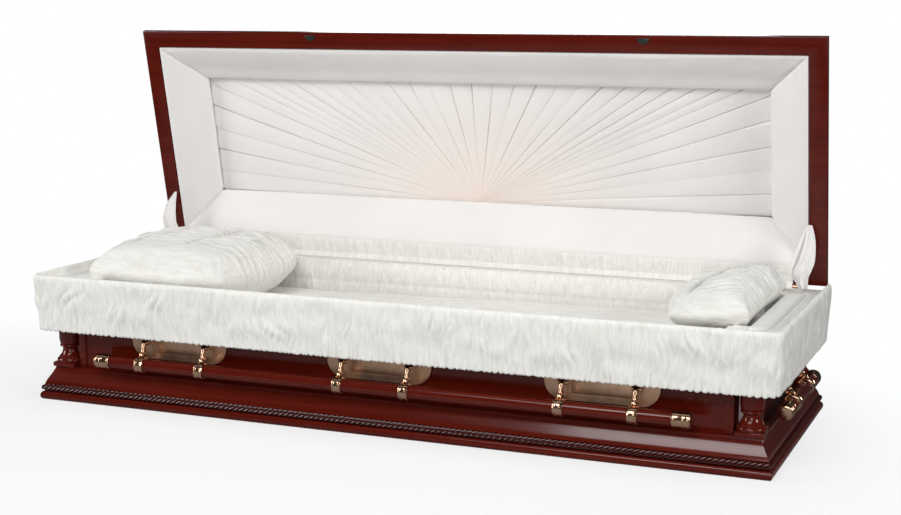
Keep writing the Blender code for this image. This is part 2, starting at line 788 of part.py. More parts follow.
def make_catches(axis):
    """Half-moon plates, flat side to the front edge of the lid."""
    for name, x in CATCH_PLACES.items():
        bm = bmesh.new()
        bmesh.ops.create_cone(
            bm,
            cap_ends=True,
            segments=16,
            radius1=CATCH_RADIUS,
            radius2=CATCH_RADIUS,
            depth=CATCH_THICKNESS - GAP,
        )
        geometry = bm.verts[:] + bm.edges[:] + bm.faces[:]
        cut = bmesh.ops.bisect_plane(
            bm, geom=geometry, plane_co=(0, 0, 0), plane_no=(0, -1, 0), clear_outer=True
        )
        edges = [item for item in cut["geom_cut"] if isinstance(item, bmesh.types.BMEdge)]
        bmesh.ops.contextual_create(bm, geom=edges)
        mesh = mesh_from(bm, name)
        height = -(CATCH_THICKNESS + GAP) / 2
        y = -RIM_WIDTH / 2 + CATCH_INSET
        mesh.transform(Matrix.Translation((x, y, height)))
        add_piece(name, lid_mesh(mesh), "dark_metal", parent=axis)


def hinge_leaf_mesh(name, first, leaf_low, leaf_high):
    """A long leaf with every second knuckle; sizes are from the pin, with the lid shut."""
    face = RIM_WIDTH / 2 + GAP - HINGE_Y
    half = HINGE_LENGTH / 2
    pitch = HINGE_LENGTH / KNUCKLES
    leaf = box_mesh(name, ((-half, face, leaf_low), (half, face + LEAF, leaf_high)))
    steps = []
    for number in range(first, KNUCKLES, 2):
        bm = bmesh.new()
        x = -half + (number + 0.5) * pitch
        rod_along_x(bm, PIN_RADIUS, pitch - 2 * LEAF_CLEAR, (x, 0.0, 0.0), 8)
        steps.append(("UNION", mesh_from(bm, "knuckle")))
    return fused_mesh(name, leaf, steps)


def make_hinge(axis):
    """Each leaf is cut back where the other leaf's knuckles turn."""
    reach = PIN_RADIUS + GAP
    half = HINGE_LENGTH / 2
    pitch = HINGE_LENGTH / KNUCKLES
    for name, first, low, high, parent in (
        ("hinge_body_leaf", 0, -LEAF_HEIGHT, -LEAF_CLEAR, None),
        ("hinge_lid_leaf", 1, LEAF_CLEAR, LEAF_HEIGHT, axis),
    ):
        mesh = hinge_leaf_mesh(name, first, low, high)
        gaps = []
        for number in range(1 - first, KNUCKLES, 2):
            x = -half + number * pitch
            low_corner = (x - LEAF_CLEAR, -2 * reach, -reach)
            gaps.append((low_corner, (x + pitch + LEAF_CLEAR, 2 * reach, reach)))
        mesh = fused_mesh(name, mesh, [("DIFFERENCE", box_mesh("knuckle_room", *gaps))])
        place = None if parent else (0.0, HINGE_Y, HINGE_Z)
        add_piece(name, mesh, "copper", parent=parent, place=place)


def stadium(length, width, inset, out):
    """Points of a round-ended outline in the wall plane, at a distance out from the wall."""
    radius = width / 2
    straight = length / 2 - radius
    points = []
    for side, start in ((1, -90), (-1, 90)):
        for i in range(6):
            angle = math.radians(start + 180 * i / 5)
            x = side * straight + (radius - inset) * math.cos(angle)
            points.append(Vector((x, out, (radius - inset) * math.sin(angle))))
    return points


def plate_mesh():
    """A dished plate with a raised bead and two pairs of ears; the wall is y = 0."""
    rings = [
        stadium(PLATE_LENGTH, PLATE_WIDTH, 0.0, GAP),
        stadium(PLATE_LENGTH, PLATE_WIDTH, 0.3 * PLATE_BEAD, PLATE_BEAD),
        stadium(PLATE_LENGTH, PLATE_WIDTH, 0.9 * PLATE_BEAD, PLATE_BEAD),
        stadium(PLATE_LENGTH, PLATE_WIDTH, 1.3 * PLATE_BEAD, PLATE_FIELD),
    ]
    plate = loft_mesh("plate", rings)
    room = BARREL_LENGTH / 2 + GAP
    reach = PIVOT_OUT + BARREL_RADIUS
    steps = []
    for centre in (-ARM_SPREAD, ARM_SPREAD):
        for side in (-1, 1):
            xs = sorted((centre + side * room, centre + side * (room + EAR)))
            low = (xs[0], PLATE_FIELD / 2, -BARREL_RADIUS)
            high = (xs[1], reach, BARREL_RADIUS)
            steps.append(("UNION", box_mesh("ear", (low, high))))
    return fused_mesh("plate", plate, steps)


def bezier(points, share):
    a, b, c, d = points
    rest = 1 - share
    return a * rest**3 + b * 3 * rest**2 * share + c * 3 * rest * share**2 + d * share**3


def arm_mesh():
    """A barrel on the pivot, an S-curved arm and a collar round the bar; the pivot is y = z = 0."""
    bar = Vector((0.0, BAR_SWELL, -BAR_DROP))
    collar = BAR_RADIUS + COLLAR_WALL
    end = bar + Vector((0.0, -0.1 * collar, 0.92 * collar))
    belly = Vector((0.0, 0.70 * BAR_SWELL, -0.17 * BAR_DROP))
    waist = Vector((0.0, 0.07 * BAR_SWELL, -0.40 * BAR_DROP))
    guide = [Vector((0.0, 0.0, 0.0)), belly, waist, end]
    steps = 5
    sections = []
    for i in range(steps + 1):
        share = i / steps
        centre = bezier(guide, share)
        ahead = bezier(guide, min(1.0, share + 0.02)) - bezier(guide, max(0.0, share - 0.02))
        ahead.normalize()
        across = Vector((0.0, -ahead.z, ahead.y)) * ARM_THICKNESS / 2
        half = (BARREL_LENGTH / 2 - 0.0006) * (1 - 0.5 * math.sin(math.pi * share)) + 0.001 * share
        side = Vector((half, 0.0, 0.0))
        sections.append([centre - side - across, centre + side - across,
                         centre + side + across, centre - side + across])
    arm = loft_mesh("arm", sections)
    bm = bmesh.new()
    rod_along_x(bm, BARREL_RADIUS, BARREL_LENGTH, (0.0, 0.0, 0.0), 8)
    barrel = mesh_from(bm, "barrel")
    bm = bmesh.new()
    rod_along_x(bm, collar, COLLAR_LENGTH, bar, 10)
    ring = mesh_from(bm, "collar")
    bm = bmesh.new()
    rod_along_x(bm, BAR_RADIUS + GAP, 2 * COLLAR_LENGTH, bar, 10)
    bore = mesh_from(bm, "bore")
    return fused_mesh("arm", arm, [("UNION", barrel), ("UNION", ring), ("DIFFERENCE", bore)])


def cap_mesh():
    """A turned end cap with one groove; it butts on the end of the bar at x = 0 and runs to +X."""
    r = CAP_RADIUS
    half = CAP_LENGTH / 2
    cut = CAP_GROOVE
    profile = [
        (0.0, CAP_LENGTH),
        (r - cut, CAP_LENGTH),
        (r, CAP_LENGTH - 1.5 * cut),
        (r, half + cut),
        (r - cut, half),
        (r, half - cut),
        (r, 0.0),
        (0.0, 0.0),
    ]
    mesh = turned_mesh("cap", profile, 10)
    mesh.transform(Matrix.Rotation(math.pi / 2, 4, "Y"))
    return mesh


def make_handle(side, direction, wall, places, bar_length, shared):
    """One swinging handle: fixed plates on the wall, and arms, bar and caps on its own axis."""
    outward = Vector((math.cos(direction), math.sin(direction), 0.0))
    turn = (0.0, 0.0, direction - math.pi / 2)
    wall_empty = add_axis(f"{side}_wall", outward * wall + Vector((0, 0, PIVOT_HEIGHT)), turn)
    place = outward * (wall + PIVOT_OUT) + Vector((0.0, 0.0, PIVOT_HEIGHT))
    axis = add_axis(f"{side}_handle_axis", place, turn)
    arm_number = 0
    for number, x in enumerate(places, 1):
        name = f"plate_{side}_{number}"
        add_piece(name, shared["plate"], "copper", wall_empty, place=(x, 0.0, 0.0))
        for offset in (-ARM_SPREAD, ARM_SPREAD):
            arm_number += 1
            name = f"arm_{side}_{arm_number}"
            add_piece(name, shared["arm"], "copper", axis, smooth=True, place=(x + offset, 0.0, 0.0))
    wood = bar_length - 2 * CAP_LENGTH - 2 * GAP
    bm = bmesh.new()
    rod_along_x(bm, BAR_RADIUS, wood, (0.0, 0.0, 0.0), 10)
    mesh = mesh_from(bm, f"bar_{side}")
    place = (0.0, BAR_SWELL, -BAR_DROP)
    add_piece(f"bar_{side}", mesh, "stained_wood", axis, smooth=True, place=place)
    for number, sign in ((1, -1), (2, 1)):
        cap = add_piece(f"cap_{side}_{number}", shared["cap"], "copper", axis, smooth=True)
        cap.location = (sign * (wood / 2 + GAP), BAR_SWELL, -BAR_DROP)
        if sign < 0:
            cap.rotation_euler = (0.0, 0.0, math.pi)


def make_handles():
    shared = {"plate": plate_mesh(), "arm": arm_mesh(), "cap": cap_mesh()}
    side = BOX_WIDTH / 2
    end = BOX_LENGTH / 2
    places = (-PLATE_SPACING, 0.0, PLATE_SPACING)
    make_handle("front", -math.pi / 2, side, places, SIDE_BAR, shared)
    make_handle("rear", math.pi / 2, side, places, SIDE_BAR, shared)
    make_handle("head", math.pi, end, (0.0,), END_BAR, shared)
    make_handle("foot", 0.0, end, (0.0,), END_BAR, shared)


def raised(point):
    """Where a point of the shut lid, given from the pin, is with the lid raised."""
    turn = Matrix.Rotation(math.radians(-LID_OPEN), 3, "X")
    return turn @ Vector(point) + Vector((0.0, HINGE_Y, HINGE_Z))


def make_gussets():
    """A soft cloth from the rail of the raised lid down to the rim, full in the middle."""
    lid_end = raised((0.0, -GUSSET_REACH, LID_Z - GUSSET_CLOTH))
    rim_end = Vector((0.0, SKIRT_REAR_END - GUSSET_FULL, RIM_TOP + SKIRT_CLOTH + SKIRT_PULL))
    middle = (lid_end + rim_end) / 2
    middle.y -= GUSSET_FULL
    steps = 6
    for name, sign in (("gusset_head", -1), ("gusset_foot", 1)):
        sections = []
        for i in range(steps + 1):
            share = i / steps
            rest = 1 - share
            centre = lid_end * rest**2 + middle * 2 * rest * share + rim_end * share**2
            half = GUSSET_WIDTH / 2 * (0.35 + 0.65 * math.sin(math.pi * min(1.0, 0.15 + share)))
            thick = GUSSET_CLOTH / 2 * (0.5 + math.sin(math.pi * share))
            x = sign * (GUSSET_X - GUSSET_LEAN * share)
            row = ((-half, 0.0), (-0.4 * half, -thick), (0.4 * half, -thick), (half, 0.0),
                   (0.4 * half, thick), (-0.4 * half, thick))
            sections.append([Vector((x + dx, centre.y + dy, centre.z)) for dx, dy in row])
        add_piece(name, loft_mesh(name, sections), "satin", smooth=True)


def main():
    clear_scene()
    make_collection("funeral_casket")
    make_collection("cutters")
    make_base_moulding()
    make_rope_moulding()
    make_carcase()
    make_columns()
    make_rim_rail()
    make_interior_lining()
    make_overlay_skirt()
    make_mattress()
    make_pillows()
    lid_axis = add_axis(
        "lid_axis", (0.0, HINGE_Y, HINGE_Z), (math.radians(-LID_OPEN), 0.0, 0.0)
    )
    make_lid_rim(lid_axis)
    make_lid_crown(lid_axis)
    make_lid_border(lid_axis)
    make_sunburst_panel(lid_axis)
    make_rail_shirring(lid_axis)
    make_catches(lid_axis)
    make_hinge(lid_axis)
    make_gussets()
    make_handles()
    bpy.context.view_layer.update()


main()
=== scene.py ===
"""Dresses the funeral casket: lacquered cherry, copper handles, crepe and satin linings, and the studio.

Lengths are metres. The head end is at -X, the front at -Y and the hinges at +Y. Lid pieces are
drawn shut, about the middle of the rim at height 0, and then raised about the hinge pin.
"""

import json
import math

import bmesh
import bpy
from bpy.props import FloatProperty, FloatVectorProperty, IntProperty, PointerProperty
from mathutils import Matrix, Vector, noise


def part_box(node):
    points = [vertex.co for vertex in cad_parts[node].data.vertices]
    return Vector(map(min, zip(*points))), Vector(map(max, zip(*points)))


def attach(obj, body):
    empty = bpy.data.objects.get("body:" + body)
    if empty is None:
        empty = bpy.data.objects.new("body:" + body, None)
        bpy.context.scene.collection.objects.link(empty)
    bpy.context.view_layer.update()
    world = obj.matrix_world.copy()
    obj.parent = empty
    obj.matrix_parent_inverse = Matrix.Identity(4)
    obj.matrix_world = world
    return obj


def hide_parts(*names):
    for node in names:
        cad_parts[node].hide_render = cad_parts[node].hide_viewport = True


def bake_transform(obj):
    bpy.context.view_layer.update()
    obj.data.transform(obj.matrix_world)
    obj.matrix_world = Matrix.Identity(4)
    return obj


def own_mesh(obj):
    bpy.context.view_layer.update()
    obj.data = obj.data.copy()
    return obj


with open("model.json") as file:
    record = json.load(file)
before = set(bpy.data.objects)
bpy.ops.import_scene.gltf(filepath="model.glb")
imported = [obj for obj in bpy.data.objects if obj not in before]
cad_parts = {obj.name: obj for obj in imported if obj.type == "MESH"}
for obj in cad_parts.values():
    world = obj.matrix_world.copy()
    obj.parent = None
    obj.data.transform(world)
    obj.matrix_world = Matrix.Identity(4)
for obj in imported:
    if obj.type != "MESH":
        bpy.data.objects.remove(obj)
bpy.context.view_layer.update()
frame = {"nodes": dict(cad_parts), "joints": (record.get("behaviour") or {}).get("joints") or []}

bl_info = {
    "name": "Funeral casket",
    "version": (1, 0, 0),
    "blender": (4, 5, 0),
    "location": "3D View > Sidebar > Casket",
    "description": "Builds the finished surfaces of a full-couch casket round its frame",
    "category": "Object",
}

# Places read from the frame
BASE_LOW, BASE_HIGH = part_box("base_moulding")
BASE_LENGTH = BASE_HIGH.x - BASE_LOW.x
BASE_WIDTH = BASE_HIGH.y - BASE_LOW.y
BASE_HEIGHT = BASE_HIGH.z
RIM_LOW, RIM_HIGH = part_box("rim_rail")
RIM_LENGTH = RIM_HIGH.x - RIM_LOW.x
RIM_WIDTH = RIM_HIGH.y - RIM_LOW.y
RIM_TOP = RIM_HIGH.z
RIM_THICKNESS = RIM_HIGH.z - RIM_LOW.z
SKIRT_LOW, SKIRT_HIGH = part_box("overlay_skirt")
LINING_LOW, LINING_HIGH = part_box("interior_lining")
BED_LOW, BED_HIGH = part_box("mattress")
JOINTS = {joint["name"]: joint for joint in frame["joints"]}
HINGE = Vector(JOINTS["lid_hinge"]["pos_m"])
LID_OPEN = math.radians(JOINTS["lid_hinge"]["range_deg"][1])
LID_GAP = 2 * (HINGE.z - RIM_TOP)
LID_PLACE = (
    Matrix.Translation(HINGE)
    @ Matrix.Rotation(-LID_OPEN, 4, "X")
    @ Matrix.Translation((0.0, -HINGE.y, LID_GAP / 2))
)

# Sizes that the wood and metal pieces share
GAP = 0.0003
BOX_LENGTH = 2.020
BOX_WIDTH = 0.640
WALL = 0.020
BULLNOSE_HEIGHT = 0.0228
ROPE_RADIUS = 0.0105
ROPE_SETBACK = 0.003
FLARE_TOP = 0.035
COLUMN_RADIUS = 0.034
PLINTH_HALF = 0.036
PLINTH_HEIGHT = 0.0125
LID_FRAME = 0.050
LID_RIM_HEIGHT = 0.030
LID_HEIGHT = 0.185
LID_STEP = 0.015
BORDER_WIDTH = 0.118
BORDER_DEPTH = 0.090
PIVOT_OUT = 0.025
PLATE_LENGTH = 0.306
PLATE_WIDTH = 0.100
ARM_SPREAD = PLATE_LENGTH / 2 - 0.056
BARREL_RADIUS = 0.006
BARREL_LENGTH = 0.016
BAR_SWELL = 0.027
BAR_DROP = 0.0595
BAR_RADIUS = 0.018
COLLAR_LENGTH = 0.022
COLLAR_RADIUS = 0.0215
CAP_LENGTH = 0.049
CAP_RADIUS = 0.0205
SKIRT_CORNER = 0.041


class CasketSizes(bpy.types.PropertyGroup):
    """Sizes of the finish that a user may want to change."""

    rope_pitch: FloatProperty(
        name="Rope pitch", description="Distance between two strands of the carved rope",
        default=0.0156, min=0.005, unit="LENGTH")
    gather: FloatProperty(
        name="Gather", description="Usual distance between two gathers of the overlay",
        default=0.024, min=0.008, unit="LENGTH")
    gather_depth: FloatProperty(
        name="Gather depth", description="Depth of the overlay's gathers",
        default=0.0042, min=0.0, unit="LENGTH")
    pleats: IntProperty(
        name="Pleats", description="Number of pleats in the sunburst panel", default=36, min=8)
    pleat_rise: FloatProperty(
        name="Pleat rise", description="Height of a pleat's folded edge",
        default=0.006, min=0.001, unit="LENGTH")
    pillow_puff: FloatProperty(
        name="Pillow puff", description="How far a pillow may swell past its plain shape",
        default=0.010, min=0.0, unit="LENGTH")


class CasketColours(bpy.types.PropertyGroup):
    """Colours of the finish that a user may want to change."""

    cherry: FloatVectorProperty(
        name="Cherry", description="The stained wood under its lacquer",
        default=(0.102, 0.0085, 0.0034), size=3, min=0.0, max=1.0, subtype="COLOR")
    cherry_dark: FloatVectorProperty(
        name="Dark cherry", description="The darker lines of the stained wood",
        default=(0.070, 0.0042, 0.0016), size=3, min=0.0, max=1.0, subtype="COLOR")
    ivory: FloatVectorProperty(
        name="Ivory", description="The crepe of the overlay, the lining and the pillows",
        default=(0.86, 0.855, 0.82), size=3, min=0.0, max=1.0, subtype="COLOR")
    satin: FloatVectorProperty(
        name="Satin", description="The cloth inside the lid",
        default=(0.82, 0.80, 0.785), size=3, min=0.0, max=1.0, subtype="COLOR")
    blush: FloatVectorProperty(
        name="Blush", description="The warm tint where the pleats meet",
        default=(0.86, 0.74, 0.67), size=3, min=0.0, max=1.0, subtype="COLOR")
    copper: FloatVectorProperty(
        name="Copper", description="The plated metal of the handles",
        default=(0.66, 0.43, 0.29), size=3, min=0.0, max=1.0, subtype="COLOR")


class Value:
    """A node's output that can be added to, multiplied and so on, as a number can."""

    def __init__(self, finish, socket):
        self.finish = finish
        self.socket = socket

    def maths(self, operation, first, second=0.0):
        return self.finish.node("ShaderNodeMath", {"operation": operation}, {0: first, 1: second})

    def __add__(self, other):
        return self.maths("ADD", self, other)

    def __mul__(self, other):
        return self.maths("MULTIPLY", self, other)

    def __sub__(self, other):
        return self.maths("SUBTRACT", self, other)

    def __rsub__(self, other):
        return self.maths("SUBTRACT", other, self)

    def __pow__(self, other):
        return self.maths("POWER", self, other)

    def __abs__(self):
        return self.maths("ABSOLUTE", self)

    __radd__ = __add__
    __rmul__ = __mul__


class Finish:
    """One material and the nodes that vary it over the surface."""

    def __init__(self, name, **plain):
        self.material = bpy.data.materials.new(name)
        self.material.use_nodes = True
        self.tree = self.material.node_tree
        self.shader = self.tree.nodes["Principled BSDF"]
        for socket, value in plain.items():
            self.shader.inputs[socket.replace("_", " ").title().replace("Ior", "IOR")].default_value = value

    def node(self, kind, settings, sockets, output=0):
        """Makes a node: its settings first, then the values or links of its sockets."""
        made = self.tree.nodes.new(kind)
        for setting, value in settings.items():
            if setting == "stops":
                for stop, (place, shade) in zip(self.stops(made, len(value)), value):
                    stop.position = place
                    stop.color = (shade, shade, shade, 1.0)
            else:
                setattr(made, setting, value)
        for key, value in sockets.items():
            if isinstance(value, Value):
                self.tree.links.new(value.socket, made.inputs[key])
            else:
                made.inputs[key].default_value = value
        return Value(self, made.outputs[output])

    @staticmethod
    def stops(made, count):
        elements = made.color_ramp.elements
        while len(elements) < count:
            elements.new(0.5)
        return elements

    def place(self, source, scale=(1.0, 1.0, 1.0), turn=(0.0, 0.0, 0.0)):
        """Object or UV coordinates, stretched and turned by a Mapping node."""
        if source == "Object":
            raw = self.node("ShaderNodeTexCoord", {}, {}, "Object")
        else:
            raw = self.node("ShaderNodeUVMap", {"uv_map": source}, {})
        return self.node("ShaderNodeMapping", {}, {"Vector": raw, "Scale": scale, "Rotation": turn})

    def noise(self, vector, scale, detail=3.0, rough=0.5, twist=0.0):
        values = {"Vector": vector, "Scale": scale, "Detail": detail, "Roughness": rough, "Distortion": twist}
        return self.node("ShaderNodeTexNoise", {}, values)

    def ramp(self, value, *stops):
        return self.node("ShaderNodeValToRGB", {"stops": stops}, {0: value})

    def blend(self, factor, low, high):
        low = (*low, 1.0) if isinstance(low, tuple) else low
        high = (*high, 1.0) if isinstance(high, tuple) else high
        return self.node("ShaderNodeMix", {"data_type": "RGBA"}, {0: factor, 6: low, 7: high}, 2)

    def colour(self, value):
        self.tree.links.new(value.socket, self.shader.inputs["Base Color"])

    def rough(self, value):
        self.tree.links.new(value.socket, self.shader.inputs["Roughness"])

    def bump(self, height, strength, distance):
        values = {"Height": height, "Strength": strength, "Distance": distance}
        made = self.node("ShaderNodeBump", {}, values)
        self.tree.links.new(made.socket, self.shader.inputs["Normal"])


def shades():
    return bpy.context.scene.casket_colours


def sizes():
    return bpy.context.scene.casket_sizes


def stained_cherry(name, gloss=0.16, dark=1.0):
    """Red-brown stain with fine straight grain under a deep gloss lacquer; it follows the grain map."""
    finish = Finish(name, coat_weight=0.75, coat_roughness=0.13, coat_ior=1.45, specular_ior_level=0.05)
    lines = finish.noise(finish.place("grain", (2.2, 70.0, 1.0)), 1.0, 4.0, 0.6, 0.4)
    figure = finish.noise(finish.place("grain", (1.3, 9.0, 1.0)), 1.0, 2.0, 0.5, 1.2)
    pores = finish.ramp(
        finish.noise(finish.place("grain", (26.0, 900.0, 1.0)), 1.0, 2.0), (0.56, 0.0), (0.66, 1.0))
    shade = lines * 0.55 + figure * 0.45
    stain = finish.ramp(shade, (0.36, 0.0), (0.62, 1.0))
    low = tuple(dark * c for c in shades().cherry_dark)
    high = tuple(dark * c for c in shades().cherry)
    finish.colour(finish.blend(pores * 0.35, finish.blend(stain, low, high), low))
    finish.rough(gloss + 0.14 * lines)
    finish.bump(lines * 0.6 + pores * 0.4, 0.05, 0.0006)
    return finish.material


def carved_cherry(name):
    """The rope's stain, lighter on the strands and darkened to near black down in the grooves: the dark grooves are
    painted shade.
    """
    finish = Finish(name, coat_weight=0.8, coat_roughness=0.08, coat_ior=1.5, specular_ior_level=0.2)
    speck = finish.noise(finish.place("Object"), 220.0, 3.0, 0.6)
    # crest is 0 deep in the grooves and 1 on the strands; through the ramp below it darkens the grooves as painted
    # shade.
    depth = finish.node("ShaderNodeAttribute", {"attribute_name": "crest"}, {}, "Fac")
    shade = finish.ramp(depth * 0.8 + speck * 0.25, (0.45, 0.0), (1.0, 1.0))
    low = tuple(0.12 * c for c in shades().cherry_dark)
    finish.colour(finish.blend(shade, low, tuple(0.75 * c for c in shades().cherry)))
    finish.rough(0.16 + 0.16 * speck)
    finish.bump(speck, 0.12, 0.0005)
    return finish.material


def crepe(name, source="cloth", along=1.0, tint=1.0):
    """Matte crepe: a fine crinkle that runs down the cloth, and a finer weave in it; darker streaks along the crinkle
    are painted fold shade, and on ruched pieces the crest attribute darkens the valleys as painted shade.
    """
    finish = Finish(name, sheen_weight=0.25, sheen_roughness=0.5, specular_ior_level=0.25)
    fine = (460.0, 130.0 / along, 1.0) if source != "Object" else (150.0, 380.0, 380.0)
    broad = (95.0, 17.0 / along, 1.0) if source != "Object" else (18.0, 80.0, 80.0)
    weave = finish.noise(finish.place(source, fine), 1.0, 3.0, 0.6, 0.6)
    crinkle = finish.noise(finish.place(source, broad), 1.0, 3.0, 0.55, 0.8)
    cloud = finish.noise(finish.place("Object"), 5.0, 2.0)
    # tint tones the whole cloth down; the pillows use it as painted shade for their brightly lit tops.
    base = tuple(tint * c for c in shades().ivory)
    # shaded: the darker crepe laid in streaks along the crinkle, painted fold shade.
    shaded = tuple(c * k for c, k in zip(base, (0.885, 0.875, 0.855)))
    cloth = finish.blend(finish.ramp(crinkle * 0.8 + cloud * 0.2, (0.36, 0.0), (0.60, 1.0)), shaded, base)
    if source == "Object":
        # Ruched pieces: the valleys and seams of the gathers are darkened by the crest attribute, painted shade.
        crest = finish.node("ShaderNodeAttribute", {"attribute_name": "crest"}, {}, "Fac")
        cloth = finish.blend(crest, tuple(c * k for c, k in zip(base, (0.58, 0.56, 0.53))), cloth)
    finish.colour(cloth)
    finish.rough(0.74 + 0.16 * weave)
    finish.bump(crinkle * 0.8 + weave * 0.2, 0.60, 0.0030)
    return finish.material


def lid_satin(name, source="cloth", blushing=False):
    """Close-woven satin with a soft sheen; the pleated panel is tinted where the pleats meet."""
    finish = Finish(name, sheen_weight=0.20, sheen_roughness=0.35, specular_ior_level=0.35)
    weft = finish.noise(finish.place(source, (1400.0, 380.0, 1.0)), 1.0, 2.0)
    cloud = finish.noise(finish.place("Object"), 3.5, 3.0)
    base = tuple(shades().satin)
    shaded = tuple(0.955 * c for c in base)
    cloth = finish.blend(finish.ramp(cloud, (0.35, 0.0), (0.65, 1.0)), shaded, base)
    if blushing:
        warmth = finish.node("ShaderNodeAttribute", {"attribute_name": "blush"}, {}, "Fac")
        cloth = finish.blend(warmth * (0.75 + 0.5 * cloud), cloth, tuple(shades().blush))
    finish.colour(cloth)
    finish.rough(0.50 + 0.14 * weft)
    finish.bump(weft, 0.10, 0.0006)
    return finish.material


def plated_copper(name, roughness, brushed=0.0):
    """Pinkish copper plate under clear lacquer, brushed along the casket or polished."""
    finish = Finish(name, metallic=1.0, coat_weight=0.25, coat_roughness=0.08)
    brush = finish.noise(finish.place("Object", (60.0, 60.0, 1500.0)), 1.0, 3.0, 0.6)
    cloud = finish.noise(finish.place("Object"), 38.0, 3.0, 0.6)
    bright = tuple(shades().copper)
    aged = tuple(c * k for c, k in zip(bright, (0.84, 0.79, 0.76)))
    finish.colour(finish.blend(finish.ramp(cloud, (0.30, 0.0), (0.62, 1.0)), aged, bright))
    finish.rough(roughness + 0.10 * cloud + brushed * brush)
    finish.bump(brush, 0.04 + 0.5 * brushed, 0.0003)
    return finish.material


def blackened_metal(name):
    finish = Finish(name, metallic=1.0)
    speck = finish.noise(finish.place("Object"), 600.0, 3.0, 0.6)
    finish.colour(finish.blend(speck, (0.030, 0.038, 0.034), (0.105, 0.120, 0.108)))
    finish.rough(0.30 + 0.22 * speck)
    finish.bump(speck, 0.15, 0.0004)
    return finish.material


def shade_piece(bm, name, finish, nodes, body="casket", crease=35.0):
    """Makes the bmesh a smooth-shaded piece that stands for its CAD nodes and rides on their body."""
    mesh = bpy.data.meshes.new(name)
    bm.to_mesh(mesh)
    bm.free()
    mesh.shade_smooth()
    mesh.set_sharp_from_angle(angle=math.radians(crease))
    mesh.materials.append(finish)
    piece = bpy.data.objects.new(name, mesh)
    bpy.context.scene.collection.objects.link(piece)
    if body:
        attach(piece, body)
    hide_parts(*nodes)
    return piece


def thicken(piece, thickness, offset=-1.0):
    wall = piece.modifiers.new("cloth", "SOLIDIFY")
    wall.thickness = thickness
    wall.offset = offset
    return piece


def smooth_line(points, steps):
    """A curve through the points, with so many steps between each two."""
    ends = [2 * Vector(points[0]) - Vector(points[1]), 2 * Vector(points[-1]) - Vector(points[-2])]
    line = [ends[0], *map(Vector, points), ends[1]]
    curve = []
    for a, b, c, d in zip(line, line[1:], line[2:], line[3:]):
        for i in range(steps):
            t = i / steps
            curve.append(0.5 * (2 * b + (c - a) * t + (2 * a - 5 * b + 4 * c - d) * t**2
                                + (3 * b - a - 3 * c + d) * t**3))
    return curve + [line[-2]]


def evenly(line, count):
    """Count + 1 points at equal distances along a line."""
    lengths = [0.0]
    for a, b in zip(line, line[1:]):
        lengths.append(lengths[-1] + (b - a).length)
    found = []
    at = 0
    for i in range(count + 1):
        goal = lengths[-1] * i / count
        while at < len(line) - 2 and lengths[at + 1] < goal:
            at += 1
        share = (goal - lengths[at]) / max(lengths[at + 1] - lengths[at], 1e-9)
        found.append(line[at].lerp(line[at + 1], min(1.0, share)))
    return found


def chain(bm, points, closed=True):
    """A row of vertices and the edges between them."""
    verts = [bm.verts.new(point) for point in points]
    pairs = list(zip(verts, verts[1:]))
    if closed:
        pairs.append((verts[-1], verts[0]))
    return [bm.edges.new(pair) for pair in pairs]


def sweep(bm, edges, moves):
    """Extrudes a section from place to place; each move is the matrix from one place to the next."""
    for move in moves:
        made = bmesh.ops.extrude_edge_only(bm, edges=edges)["geom"]
        verts = {item for item in made if isinstance(item, bmesh.types.BMVert)}
        bmesh.ops.transform(bm, matrix=move, verts=list(verts))
        edges = [item for item in made if isinstance(item, bmesh.types.BMEdge) and set(item.verts) <= verts]
    return edges


def mitred_frame(profile, length, width, closed=True, end_scale=1.0):
    """Extrudes a profile of (inset, height) round a rectangle, mirrored from corner to corner."""
    bm = bmesh.new()
    corner = [(inset * end_scale - length / 2, inset - width / 2, height) for inset, height in profile]
    flips = [Matrix.Diagonal((-1, 1, 1, 1)), Matrix.Diagonal((1, -1, 1, 1))]
    sweep(bm, chain(bm, corner, closed), flips * 2)
    bmesh.ops.remove_doubles(bm, verts=bm.verts[:], dist=1e-6)
    bmesh.ops.recalc_face_normals(bm, faces=bm.faces[:])
    return bm


def lay_grain(bm, upright=False):
    """A UV map in metres whose first axis follows each board's length."""
    grain = bm.loops.layers.uv.new("grain")
    for face in bm.faces:
        across = abs(face.normal.x) > 0.7 and not upright
        for loop in face.loops:
            x, y, z = loop.vert.co
            if upright:
                loop[grain].uv = (z, math.atan2(face.normal.y, face.normal.x) * COLUMN_RADIUS + x)
            elif across:
                loop[grain].uv = (y, z + x)
            else:
                loop[grain].uv = (x, z + 1.3 * y)


def cloth_grid(columns, rows, place, flat):
    """A grid whose point at (along, down), each from 0 to 1, goes where place says; flat is its uncut size."""
    bm = bmesh.new()
    bmesh.ops.create_grid(bm, x_segments=columns, y_segments=rows, size=0.5)
    weave = bm.loops.layers.uv.new("cloth")
    for face in bm.faces:
        for loop in face.loops:
            x, y, _ = loop.vert.co
            loop[weave].uv = ((x + 0.5) * flat[0], (0.5 - y) * flat[1])
    for vert in bm.verts:
        vert.co = place(vert.co.x + 0.5, 0.5 - vert.co.y)
    return bm


def ripple(x, y, seed):
    """Smooth noise from -1 to 1."""
    return noise.noise(Vector((x, y, seed)))


def ridge(turns):
    """Folds with round tops and sharp valleys; one fold for each turn."""
    return abs(math.sin(math.pi * turns))


def gathers(along, down, seed, spacing):
    """Folds with round tops and sharp valleys that run down the cloth; 0 in a valley, about 1 on top."""
    drift = along + 1.2 * spacing * ripple(along / (3 * spacing), down * 7.0, seed)
    height = 0.75 + 0.9 * ripple(along / (2 * spacing), down * 4.0, seed + 3.0)
    return height * (0.75 * ridge(drift / spacing) + 0.25 * ridge(2.3 * drift / spacing + 0.4))


